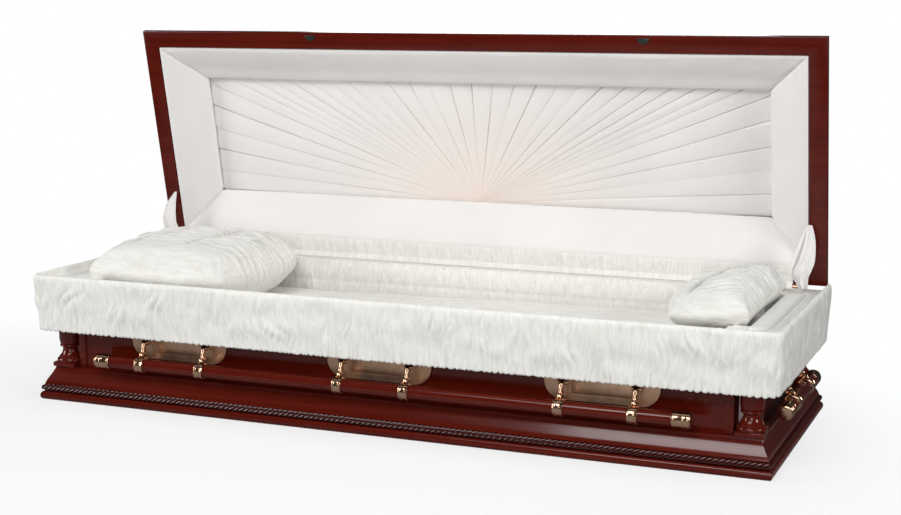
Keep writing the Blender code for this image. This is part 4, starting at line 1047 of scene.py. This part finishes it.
def make_lining(cloth):
    """Shirred cloth on the four inner walls, and the strip that covers the rim on the hinge side."""
    line = lining_path()
    columns = 1150
    path = evenly(line, columns)
    whole = sum((b - a).length for a, b in zip(line, line[1:]))
    low = 0.030
    high = LINING_HIGH.z - 0.0006
    levels = [0.0, 0.25, 0.45, 0.58]
    levels += [0.58 + 0.42 * (i + 1) / 26 for i in range(26)] + [1.0]
    rows = len(levels) - 1

    def place(along, down):
        index = min(columns, round(along * columns))
        here = path[index]
        ahead = path[(index + 2) % columns] - path[index - 2]
        inward = Vector((ahead.y, -ahead.x)).normalized()
        index_down = round(down * rows)
        level = levels[rows - index_down]
        height = low + (high - low) * level
        run = along * whole
        fold = gathers(run, level * 1.2, 41.0, 0.013)
        band = 0.5 + 0.5 * math.tanh((level - 0.80) / 0.02)
        puff = math.sin(math.pi * min(1.0, max(0.0, (level - 0.80) / 0.20))) * band
        seam = math.exp(-(((level - 0.80) / 0.012) ** 2))
        reach = 0.0006 + 0.0034 * fold * (1 - 0.6 * seam) + 0.004 * puff - 0.0012 * seam
        reach *= 1.0 - 0.7 * math.exp(-(((level - 1.0) / 0.03) ** 2))
        out = here + inward * (reach if level < 1.0 or index_down else -0.053)
        return Vector((out.x, out.y, height))

    bm = cloth_grid(columns, rows, place, (whole, high - low))
    bmesh.ops.remove_doubles(bm, verts=bm.verts[:], dist=1e-5)
    lining = shade_piece(bm, "shirred_lining", cloth, ["interior_lining"], crease=70.0)
    thicken(lining, 0.0006, 0.0)
    half_x = BOX_LENGTH / 2 - WALL - 0.004
    inner = BOX_WIDTH / 2 - WALL - 0.0150
    edge = RIM_WIDTH / 2 - 0.004

    def over_rim(along, down):
        fold = gathers(along * 2 * half_x, down * 0.4, 53.0, 0.012)
        x = -half_x + 2 * half_x * along
        drop = 0.006 * max(0.0, 1 - down * 12.0)
        ends = min(1.0, 10.0 * (1 - down))
        return Vector((x, inner + (edge - inner) * down, RIM_TOP + 0.0009 + 0.0021 * fold * ends - drop))

    bm = cloth_grid(1200, 14, over_rim, (2 * half_x, edge - inner))
    strip = shade_piece(bm, "rim_strip", cloth, [], crease=70.0)
    thicken(strip, 0.0004, 0.0)


def make_mattress(cloth):
    """The bed: a padded block with its crepe tufted into soft wrinkles."""
    bm = bmesh.new()
    centre = (BED_LOW + BED_HIGH) / 2
    bmesh.ops.create_cube(bm, size=2.0)
    bmesh.ops.subdivide_edges(bm, edges=bm.edges[:], cuts=63, use_grid_fill=True)
    half = (BED_HIGH - BED_LOW) / 2
    node = frame["nodes"]["mattress"].data
    tops = [vert.co.z for vert in node.vertices if vert.co.z > centre.z and vert.co.x < -half.x * 0.5]
    head_top = max(tops)
    foot_top = BED_HIGH.z
    weave = bm.loops.layers.uv.new("cloth")
    for vert in bm.verts:
        a, b, c = vert.co
        x = centre.x + a * half.x
        y = centre.y + b * half.y
        top = head_top + (foot_top - head_top) * (a + 1) / 2 - 0.004
        edge = max(0.0, (abs(b) - 0.86) / 0.14)
        edge_x = max(0.0, (abs(a) - 0.965) / 0.035)
        sink = 0.020 * (edge**2.4) + 0.020 * (edge_x**2.4)
        ruck = abs(ripple(x * 5.0 + 1.5 * ripple(x * 2.0, y * 3.0, 4.0), y * 30.0, 8.0))
        fine = abs(ripple(x * 16.0, y * 85.0, 15.0))
        if c > 0:
            sink += 0.0045 * (1 - ruck) ** 2 + 0.0016 * fine
        z = BED_LOW.z + (top - sink - BED_LOW.z) * (c + 1) / 2
        pull = 0.006 * edge if c > 0.9 else 0.0
        vert.co = (x, y - math.copysign(pull, b), z)
    for face in bm.faces:
        for loop in face.loops:
            x, y, z = loop.vert.co
            loop[weave].uv = (y, x) if abs(face.normal.z) > 0.5 else (x + y, z)
    bmesh.ops.recalc_face_normals(bm, faces=bm.faces[:])
    piece = shade_piece(bm, "crepe_mattress", cloth, ["mattress"], crease=70.0)


STUDIO_FILL = 0.13
STUDIO_MIRRORED = 0.04
FLOOR_CENTRE = (-0.3, -1.0, 0.0)
SOFTBOXES = (
    ("key_softbox", (0.35, -2.9, 2.6), (0.35, 0.0, 0.1), (1.9, 1.0), 42.0),
    ("front_softbox", (1.3, -4.4, 1.1), (0.1, 0.0, 0.35), (2.2, 1.4), 42.0),
    ("left_softbox", (-4.2, -1.9, 1.5), (-0.3, -0.2, 0.3), (1.2, 2.2), 85.0),
    ("right_softbox", (4.6, -1.3, 1.7), (1.08, 0.0, 0.25), (1.0, 1.6), 80.0),
    ("top_softbox", (0.0, 0.3, 4.4), (0.0, 0.0, 0.3), (3.4, 1.8), 28.0),
    ("lid_softbox", (-0.6, -3.4, 4.2), (0.0, 0.3, 0.7), (2.4, 1.2), 34.0),
    ("rear_softbox", (-1.2, 4.2, 2.4), (0.0, 0.3, 0.2), (2.6, 1.2), 34.0),
)


def make_stage():
    """A pale floor, a soft studio and the camera where the photograph was taken from."""
    bm = bmesh.new()
    bmesh.ops.create_grid(bm, x_segments=1, y_segments=1, size=30.0)
    bm.transform(Matrix.Translation((0, 0, -0.0005)))
    mesh = bpy.data.meshes.new("floor")
    bm.to_mesh(mesh)
    bm.free()
    floor = bpy.data.objects.new("floor", mesh)
    bpy.context.scene.collection.objects.link(floor)
    pale = Finish("pale_floor", roughness=0.9, specular_ior_level=0.1)
    haze = pale.noise(pale.place("Object"), 0.6, 2.0)
    pale.colour(pale.blend(haze, (0.88, 0.88, 0.88), (0.90, 0.90, 0.90)))
    away = pale.node("ShaderNodeVectorMath", {"operation": "DISTANCE"}, {0: pale.place("Object"), 1: FLOOR_CENTRE}, 1)
    fade = pale.ramp(away * 0.1, (0.13, 0.62), (0.23, 1.0))
    clear = pale.node("ShaderNodeBsdfTransparent", {}, {})
    shader = Value(pale, pale.shader.outputs[0])
    mixed = pale.node("ShaderNodeMixShader", {}, {0: fade, 1: shader, 2: clear})
    surface = pale.tree.nodes["Material Output"].inputs["Surface"]
    pale.tree.links.new(mixed.socket, surface)
    mesh.materials.append(pale.material)
    world = bpy.data.worlds.new("studio")
    world.use_nodes = True
    sky = world.node_tree
    ray = sky.nodes.new("ShaderNodeLightPath")
    dim = sky.nodes.new("ShaderNodeMix")
    dim.inputs["A"].default_value = STUDIO_FILL
    dim.inputs["B"].default_value = STUDIO_MIRRORED
    sky.links.new(ray.outputs["Is Glossy Ray"], dim.inputs["Factor"])
    shade = sky.nodes.new("ShaderNodeMix")
    sky.links.new(dim.outputs["Result"], shade.inputs["A"])
    shade.inputs["B"].default_value = 1.0
    sky.links.new(ray.outputs["Is Camera Ray"], shade.inputs["Factor"])
    sky.links.new(shade.outputs["Result"], sky.nodes["Background"].inputs["Strength"])
    sky.nodes["Background"].inputs["Color"].default_value = (1.0, 1.0, 1.0, 1.0)
    bpy.context.scene.world = world
    bpy.context.scene.view_settings.view_transform = "Standard"
    for name, place, aim, size, watts in SOFTBOXES:
        light = bpy.data.lights.new(name, "AREA")
        light.shape = "RECTANGLE"
        light.size, light.size_y = size
        light.energy = watts
        lamp = bpy.data.objects.new(name, light)
        lamp.location = place
        lamp.rotation_euler = (Vector(aim) - Vector(place)).to_track_quat("-Z", "Y").to_euler()
        bpy.context.scene.collection.objects.link(lamp)
    azimuth = math.radians(22.33)
    elevation = math.radians(9.24)
    back = Vector((math.sin(azimuth) * math.cos(elevation), -math.cos(azimuth) * math.cos(elevation),
                   math.sin(elevation)))
    camera = bpy.data.cameras.new("camera")
    camera.lens = 63.2
    camera.sensor_width = 36.0
    camera.clip_end = 100.0
    viewer = bpy.data.objects.new("camera", camera)
    viewer.location = (1.7455, -4.0704, 1.1465)
    viewer.rotation_euler = (-back).to_track_quat("-Z", "Y").to_euler()
    bpy.context.scene.collection.objects.link(viewer)
    bpy.context.scene.camera = viewer


def plump(name, mesh, cell, swell, puff):
    """Swells a pillow by cloth simulation: a pressed skin that may move no further than puff."""
    pillow = bpy.data.objects.new(name, mesh)
    bpy.context.scene.collection.objects.link(pillow)
    remesh = pillow.modifiers.new("skin", "REMESH")
    remesh.mode = "VOXEL"
    remesh.voxel_size = cell
    graph = bpy.context.evaluated_depsgraph_get()
    skin = bpy.data.meshes.new_from_object(pillow.evaluated_get(graph))
    pillow.modifiers.clear()
    pillow.data = skin
    bpy.data.meshes.remove(mesh)
    start = [vert.co.copy() for vert in skin.vertices]
    cloth = pillow.modifiers.new("cloth", "CLOTH")
    cloth.settings.use_pressure = True
    cloth.settings.uniform_pressure_force = swell
    cloth.settings.quality = 5
    cloth.settings.mass = 0.3
    cloth.settings.tension_stiffness = 15.0
    cloth.settings.bending_stiffness = 0.5
    cloth.settings.effector_weights.gravity = 0.0
    cloth.point_cache.frame_start = 1
    cloth.point_cache.frame_end = 20
    scene = bpy.context.scene
    for number in range(1, 21):
        scene.frame_set(number)
    graph = bpy.context.evaluated_depsgraph_get()
    pressed = bpy.data.meshes.new_from_object(pillow.evaluated_get(graph))
    pillow.modifiers.clear()
    for vert, old in zip(pressed.vertices, start):
        shift = vert.co - old
        if shift.length > puff:
            vert.co = old + shift.normalized() * puff
    pillow.data = pressed
    bpy.data.meshes.remove(skin)
    scene.frame_set(1)
    return pillow


def pillow_form(name, node, tilt, shift):
    """A full pillow a little smaller than its CAD solid, pushed to the casket's end: round in plan, with deep sides."""
    low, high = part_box(node)
    low = low + Vector((shift if shift > 0 else shift / 2, 0, 0))
    high = high + Vector((shift if shift < 0 else shift / 4, 0, 0))
    half = (high - low) / 2
    half.z -= abs(math.sin(tilt)) * half.x * 0.75
    bm = bmesh.new()
    bmesh.ops.create_cube(bm, size=2.0)
    bmesh.ops.subdivide_edges(bm, edges=bm.edges[:], cuts=15, use_grid_fill=True)
    for vert in bm.verts:
        a, b, c = vert.co
        full = 0.44 + 0.56 * math.sqrt(max(0.0, (1 - abs(a) ** 2.8) * (1 - b**4)))
        waist = 1 - 0.07 * c * c
        rounding = 0.08 if a * shift > 0 else 0.26
        x = a * waist * math.sqrt(1 - rounding * b * b) * (half.x - 0.004)
        y = b * waist * math.sqrt(1 - rounding * a * a) * (half.y - 0.006)
        vert.co = (x, y, c * full * (half.z - 0.008))
    bmesh.ops.recalc_face_normals(bm, faces=bm.faces[:])
    mesh = bpy.data.meshes.new(name)
    bm.to_mesh(mesh)
    bm.free()
    return mesh, (low + high) / 2


def ruche(pillow, seams, spacing, front, fan, tilt, centre):
    """Gathers the simulated skin: seams run front to back, and folds run across between them."""
    finer = bmesh.new()
    finer.from_mesh(pillow.data)
    bmesh.ops.subdivide_edges(finer, edges=finer.edges[:], cuts=1, use_grid_fill=True)
    bmesh.ops.smooth_vert(finer, verts=finer.verts[:], factor=0.5, use_axis_x=True, use_axis_y=True, use_axis_z=True)
    finer.normal_update()
    half_y = max(vert.co.y for vert in finer.verts)
    half_x = max(vert.co.x for vert in finer.verts)
    shifts = []
    crests = []
    for vert in finer.verts:
        x, y, z = vert.co
        bend = 0.018 * ripple(y * 4.0, 0.3, 6.0) - 0.10 * (y / half_y) * 0.2
        nearest = min((x + bend - seam for seam in seams), key=abs)
        near = math.exp(-((nearest / 0.008) ** 2))
        between = min(1.0, abs(nearest) / 0.06)
        sweep_y = y * (1 + fan * (x / half_x)) + 0.16 * z * (x / half_x)
        wander = 1.5 * spacing * ripple(x * 9.0, sweep_y * 9.0, 2.0)
        fold = ridge((sweep_y + wander) / spacing)
        fine = ridge((sweep_y * 1.9 + 1.4 * wander + 0.01 * ripple(x * 30.0, y * 30.0, 5.0)) / spacing)
        height = 0.7 + 1.0 * ripple(x * 14.0, y * 22.0, 27.0)
        ruched = min(1.0, max(0.0, (y + half_y * front) / 0.05))
        upper = min(1.0, max(0.0, 0.75 + z / 0.06))
        gathered = ruched * upper
        deep = 0.0185 * height * (0.72 * fold + 0.28 * fine - 0.50) * (0.45 + 0.55 * between)
        plain = 0.0030 * ripple(x * 7.0, z * 16.0 + y * 5.0, 33.0)
        # valley: how deep a point lies in a fold or at a seam; stored in crest, it darkens the pillow's crepe there as
        # painted shade.
        valley = (1 - min(1.0, 1.3 * (0.72 * fold + 0.28 * fine))) * min(1.0, max(0.0, height)) + 0.5 * near
        crests.append(1 - gathered * min(1.0, valley))
        shifts.append(vert.normal * (gathered * (deep - 0.0090 * near + 0.0030 * between) + (1 - gathered) * plain))
    for vert, shift in zip(finer.verts, shifts):
        vert.co += shift
    finer.transform(Matrix.Translation(centre) @ Matrix.Rotation(tilt, 4, "Y"))
    finer.to_mesh(pillow.data)
    finer.free()
    pillow.data.attributes.new("crest", "FLOAT", "POINT").data.foreach_set("value", crests)


def make_pillow(node, name, tilt, shift, seams, spacing, front, fan, cloth):
    """One pillow: swelled by simulation and ruched."""
    mesh, centre = pillow_form(name, node, tilt, shift)
    pillow = plump(name, mesh, 0.0075, 4.0, sizes().pillow_puff)
    ruche(pillow, seams, spacing, front, fan, tilt, centre)
    pillow.data.materials.clear()
    pillow.data.materials.append(cloth)
    pillow.data.shade_smooth()
    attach(pillow, "casket")
    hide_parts(node)
    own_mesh(pillow)


def skirt_outline(share, inset, corner):
    """A point and outward direction on the overlay's outline, share 0 to 1 from the rear head end to the rear foot end."""
    half_x = (SKIRT_HIGH.x - SKIRT_LOW.x) / 2
    front = -SKIRT_LOW.y
    rear = SKIRT_HIGH.y
    end_run = rear + front - SKIRT_CORNER
    front_run = 2 * (half_x - SKIRT_CORNER)
    arc = math.pi / 2 * SKIRT_CORNER
    run = share * (2 * end_run + 2 * arc + front_run)
    held = max(corner, inset + 0.003 + 0.9 * max(0.0, inset - 0.05))
    across = half_x - held
    if run < end_run:
        y = rear + (held - front - rear) * run / end_run
        return Vector((inset - half_x, y)), Vector((-1.0, 0.0))
    run -= end_run
    if run < arc:
        angle = math.pi + math.pi / 2 * run / arc
        out = Vector((math.cos(angle), math.sin(angle)))
        return Vector((-across, held - front)) + out * (held - inset), out
    run -= arc
    if run < front_run:
        return Vector((-across + 2 * across * run / front_run, inset - front)), Vector((0.0, -1.0))
    run -= front_run
    if run < arc:
        angle = 1.5 * math.pi + math.pi / 2 * run / arc
        out = Vector((math.cos(angle), math.sin(angle)))
        return Vector((across, held - front)) + out * (held - inset), out
    y = (held - front) + (rear - held + front) * (run - arc) / end_run
    return Vector((half_x - inset, y)), Vector((1.0, 0.0))


def skirt_section():
    """The overlay's cross-section as (inset, height) at even steps, and the distance down the cloth of each."""
    laid = RIM_TOP + 0.0009
    hem = SKIRT_LOW.z
    crown = SKIRT_HIGH.z
    flat = [(0.1170, laid - 0.026), (0.1165, laid - 0.008), (0.1120, laid), (0.085, laid + 0.0005),
            (0.050, laid + 0.0005), (0.0225, laid + 0.0005)]
    roll = [(0.0176, laid + 0.0050), (0.0168, crown - 0.0075), (0.0148, crown - 0.0022), (0.0115, crown - 0.0004),
            (0.0075, crown - 0.0026), (0.0045, crown - 0.0090), (0.0037, crown - 0.0200)]
    hang = [(0.0040, crown - 0.045), (0.0070, (crown + hem) / 2), (0.0110, hem + 0.036), (0.0125, hem + 0.008)]
    line = smooth_line([*flat, *roll, *hang], 8)
    on_rim = 0.118
    coarse = evenly(line, 1000)
    whole = sum((b - a).length for a, b in zip(coarse, coarse[1:]))
    runs = [on_rim * i / 9 for i in range(9)] + [on_rim + (whole - on_rim) * i / 44 for i in range(45)]
    return [coarse[round(1000 * run / whole)] for run in runs], runs, on_rim


def make_overlay(cloth):
    """The overlay: laid on the rim, rolled over its edge and hung in crepe gathers to a wavy hem."""
    path, runs, on_rim = skirt_section()
    rows = len(path) - 1
    whole = runs[-1]
    crown = SKIRT_HIGH.z
    spacing = sizes().gather
    depth = sizes().gather_depth
    around = 3.55
    columns = 900

    def place(along, down):
        index = round(down * rows)
        inset, height = path[index]
        ahead = path[min(rows, index + 1)] - path[max(0, index - 1)]
        lift, push = Vector((-ahead.x, -ahead.y)).normalized()
        run = along * around
        drop = runs[index]
        hung = max(0.0, (drop - on_rim) / (whole - on_rim))
        middle = math.sin(math.pi * min(1.0, hung))
        lean = 0.030 * ripple(run * 2.6, drop * 5.0, 61.0) + 0.012 * ripple(run * 9.0, drop * 12.0, 67.0)
        at = run + lean * (0.25 + middle)
        broad = ridge(at / (2.1 * spacing) + 1.5 * ripple(at * 9.0, drop * 9.0, 71.0))
        close = ridge(at / (0.62 * spacing) + 1.3 * ripple(at * 24.0, drop * 14.0, 75.0))
        fine = ridge(run / (0.30 * spacing) + 0.8 * ripple(run * 50.0, drop * 16.0, 79.0))
        height_of = 0.65 + 1.1 * ripple(at * 16.0, drop * 18.0, 83.0)
        amount = 0.12 + 0.88 * min(1.0, max(0.0, (drop - on_rim - 0.018) / 0.02))
        folds = 0.70 * middle * broad * height_of + 0.55 * close * height_of + 0.30 * fine * (1 - 0.5 * middle)
        end = min(1.0, 40.0 * min(along, 1 - along))
        shift = depth * amount * end * (1 + 0.45 * middle) * (folds - 0.50)
        billow = 0.0030 * middle * ripple(run * 4.0, drop * 6.0, 87.0)
        point, out = skirt_outline(along, inset, SKIRT_CORNER + 0.012 * hung * hung)
        moved = point + out * (shift * push + billow + 0.0012 * hung**6 * math.sin(run * math.tau / 0.021))
        scallop = 0.0042 * (close - 0.5) * hung**10
        return Vector((moved.x, moved.y, min(height + shift * lift, crown + 0.0035) - scallop))

    bm = cloth_grid(columns, rows, place, (around, whole))
    overlay = shade_piece(bm, "gathered_overlay", cloth, ["overlay_skirt"], crease=80.0)
    thicken(overlay, 0.0010, 0.0)


def make_gussets(satin):
    """Two satin falls that hide the lid stays: held on the lid's rail and gathered on the rim."""
    for node, sign in (("gusset_head", -1), ("gusset_foot", 1)):
        low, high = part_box(node)
        middle = (low.x + high.x) / 2
        full = 1.0 if sign < 0 else 1.25
        tuck = 0.10 if sign < 0 else 1.10
        top = Vector((middle + sign * 0.004, high.y - 0.006, high.z - 0.002))
        foot = Vector((middle - sign * 0.006, high.y - 0.026, low.z + 0.002))
        spine = smooth_line([top, (middle + sign * 0.008, high.y - 0.020, high.z - 0.045),
                             (middle + sign * 0.004, high.y - 0.034, high.z - 0.095),
                             (middle - sign * 0.010, high.y - 0.038, high.z - 0.140), foot], 12)
        strips = bmesh.new()
        for layer, (width, shift, turns, seed) in enumerate(((0.040, 0.0, 1.4, 5.0), (0.036, 0.014, 1.0, 9.0))):

            def place(along, down, width=width * full, shift=shift, turns=turns, seed=seed, layer=layer):
                at = spine[round(down * (len(spine) - 1))]
                flare = 0.22 + 0.78 * min(1.0, 1.5 * down) ** 0.8 - tuck * max(0.0, down - 0.60)
                x = (along - 0.5) * width * flare - layer * sign * 0.022 * math.sin(math.pi * min(1.0, 1.1 * down))
                bend = 0.0060 * math.sin(math.tau * turns * along + 2.4 * down + seed) * (0.3 + 0.7 * down)
                crumple = 0.0035 * ripple(along * 4.0, down * 9.0, seed) * down
                pucker = 0.0020 * ridge(along * 7.0 + ripple(along * 3.0, down * 4.0, seed)) * max(0.0, down - 0.45)
                return at + Vector((sign * x, bend + crumple + pucker + shift * down, crumple))

            join(strips, cloth_grid(48, len(spine) - 1, place, (width, 0.20)))
        piece = shade_piece(strips, f"satin_{node}", satin, [node], body=None, crease=80.0)
        thicken(piece, 0.0008, 0.0)
        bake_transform(piece)


class CasketOperator:
    """What the operators of the casket share."""

    bl_options = {"REGISTER", "UNDO"}

    def execute(self, context):
        self.build()
        return {"FINISHED"}


def finish_named(name, make, *values, **settings):
    """A material that is made once and then shared."""
    return bpy.data.materials.get(name) or make(name, *values, **settings)


class CASKET_OT_stage(CasketOperator, bpy.types.Operator):
    """Make the floor, the lights and the camera"""

    bl_idname = "casket.stage"
    bl_label = "Stage"

    def build(self):
        make_stage()


class CASKET_OT_base(CasketOperator, bpy.types.Operator):
    """Make the base moulding and its carved rope"""

    bl_idname = "casket.base"
    bl_label = "Base"

    def build(self):
        make_base(finish_named("stained_cherry", stained_cherry), finish_named("carved_cherry", carved_cherry))


class CASKET_OT_box(CasketOperator, bpy.types.Operator):
    """Make the box, its columns and its moulded rail"""

    bl_idname = "casket.box"
    bl_label = "Box"

    def build(self):
        make_box(finish_named("stained_cherry", stained_cherry))


class CASKET_OT_lid(CasketOperator, bpy.types.Operator):
    """Make the wooden lid, its catches and its hinge"""

    bl_idname = "casket.lid"
    bl_label = "Lid"

    def build(self):
        make_lid_wood(
            finish_named("stained_cherry", stained_cherry), finish_named("blackened_metal", blackened_metal),
            finish_named("satin_copper", plated_copper, 0.24, 0.16))


class CASKET_OT_handles(CasketOperator, bpy.types.Operator):
    """Make the four swinging handles"""

    bl_idname = "casket.handles"
    bl_label = "Handles"

    def build(self):
        wood = finish_named("stained_cherry", stained_cherry)
        satin_copper = finish_named("satin_copper", plated_copper, 0.24, 0.16)
        bright_copper = finish_named("bright_copper", plated_copper, 0.10, 0.04)
        for side, degrees in (("front", -90), ("rear", 90), ("head", 180), ("foot", 0)):
            wall = BOX_WIDTH / 2 if side in ("front", "rear") else BOX_LENGTH / 2
            make_handle(side, math.radians(degrees), wall, wood, satin_copper, bright_copper)


class CASKET_OT_lid_lining(CasketOperator, bpy.types.Operator):
    """Make the padded border, the pleated panel and the shirred rail of the lid"""

    bl_idname = "casket.lid_lining"
    bl_label = "Lid lining"

    def build(self):
        make_lid_border(finish_named("border_satin", lid_satin))
        make_sunburst(finish_named("pleated_satin", lid_satin, blushing=True))
        make_rail_shirring(finish_named("shirred_crepe", crepe))
        make_hinge_cover(finish_named("shirred_crepe", crepe))


class CASKET_OT_interior(CasketOperator, bpy.types.Operator):
    """Make the shirred lining and the mattress"""

    bl_idname = "casket.interior"
    bl_label = "Interior"

    def build(self):
        make_lining(finish_named("shirred_crepe", crepe))
        make_mattress(finish_named("bed_crepe", crepe))


class CASKET_OT_pillows(CasketOperator, bpy.types.Operator):
    """Make the two ruched pillows"""

    bl_idname = "casket.pillows"
    bl_label = "Pillows"

    def build(self):
        # The pillows' crepe is toned 7% darker than the other crepe: painted shade that holds down their brightly lit
        # tops.
        cloth = finish_named("pillow_crepe", crepe, "Object", tint=0.93)
        make_pillow("head_pillow", "ruched_head_pillow", math.radians(1.5), -0.040, (-0.13, 0.045), 0.026, 0.62, 0.10,
                    cloth)
        make_pillow("foot_pillow", "ruched_foot_pillow", math.radians(-7.0), 0.048, (-0.03,), 0.022, 0.80, 0.35,
                    cloth)


class CASKET_OT_overlay(CasketOperator, bpy.types.Operator):
    """Make the gathered overlay that hangs over the rim"""

    bl_idname = "casket.overlay"
    bl_label = "Overlay"

    def build(self):
        make_overlay(finish_named("overlay_crepe", crepe))


class CASKET_OT_gussets(CasketOperator, bpy.types.Operator):
    """Make the satin falls over the lid stays"""

    bl_idname = "casket.gussets"
    bl_label = "Gussets"

    def build(self):
        make_gussets(finish_named("border_satin", lid_satin))


class CASKET_PT_parts(bpy.types.Panel):
    """Lists the casket's operators, sizes and colours in the sidebar"""

    bl_idname = "CASKET_PT_parts"
    bl_label = "Funeral casket"
    bl_space_type = "VIEW_3D"
    bl_region_type = "UI"
    bl_category = "Casket"

    def draw(self, context):
        for operator in OPERATORS:
            self.layout.operator(operator.bl_idname)
        for group in (context.scene.casket_sizes, context.scene.casket_colours):
            box = self.layout.box()
            for name in group.__annotations__:
                box.prop(group, name)


OPERATORS = (
    CASKET_OT_stage, CASKET_OT_base, CASKET_OT_box, CASKET_OT_lid, CASKET_OT_handles, CASKET_OT_lid_lining,
    CASKET_OT_interior, CASKET_OT_pillows, CASKET_OT_overlay, CASKET_OT_gussets)
CLASSES = (CasketSizes, CasketColours, *OPERATORS, CASKET_PT_parts)


def register():
    for made in CLASSES:
        bpy.utils.register_class(made)
    bpy.types.Scene.casket_sizes = PointerProperty(type=CasketSizes)
    bpy.types.Scene.casket_colours = PointerProperty(type=CasketColours)


def unregister():
    del bpy.types.Scene.casket_colours
    del bpy.types.Scene.casket_sizes
    for made in reversed(CLASSES):
        bpy.utils.unregister_class(made)


def main():
    """Registers the add-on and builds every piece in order."""
    register()
    for operator in OPERATORS:
        group, name = operator.bl_idname.split(".")
        getattr(getattr(bpy.ops, group), name)()


if __name__ == "__main__":
    main()
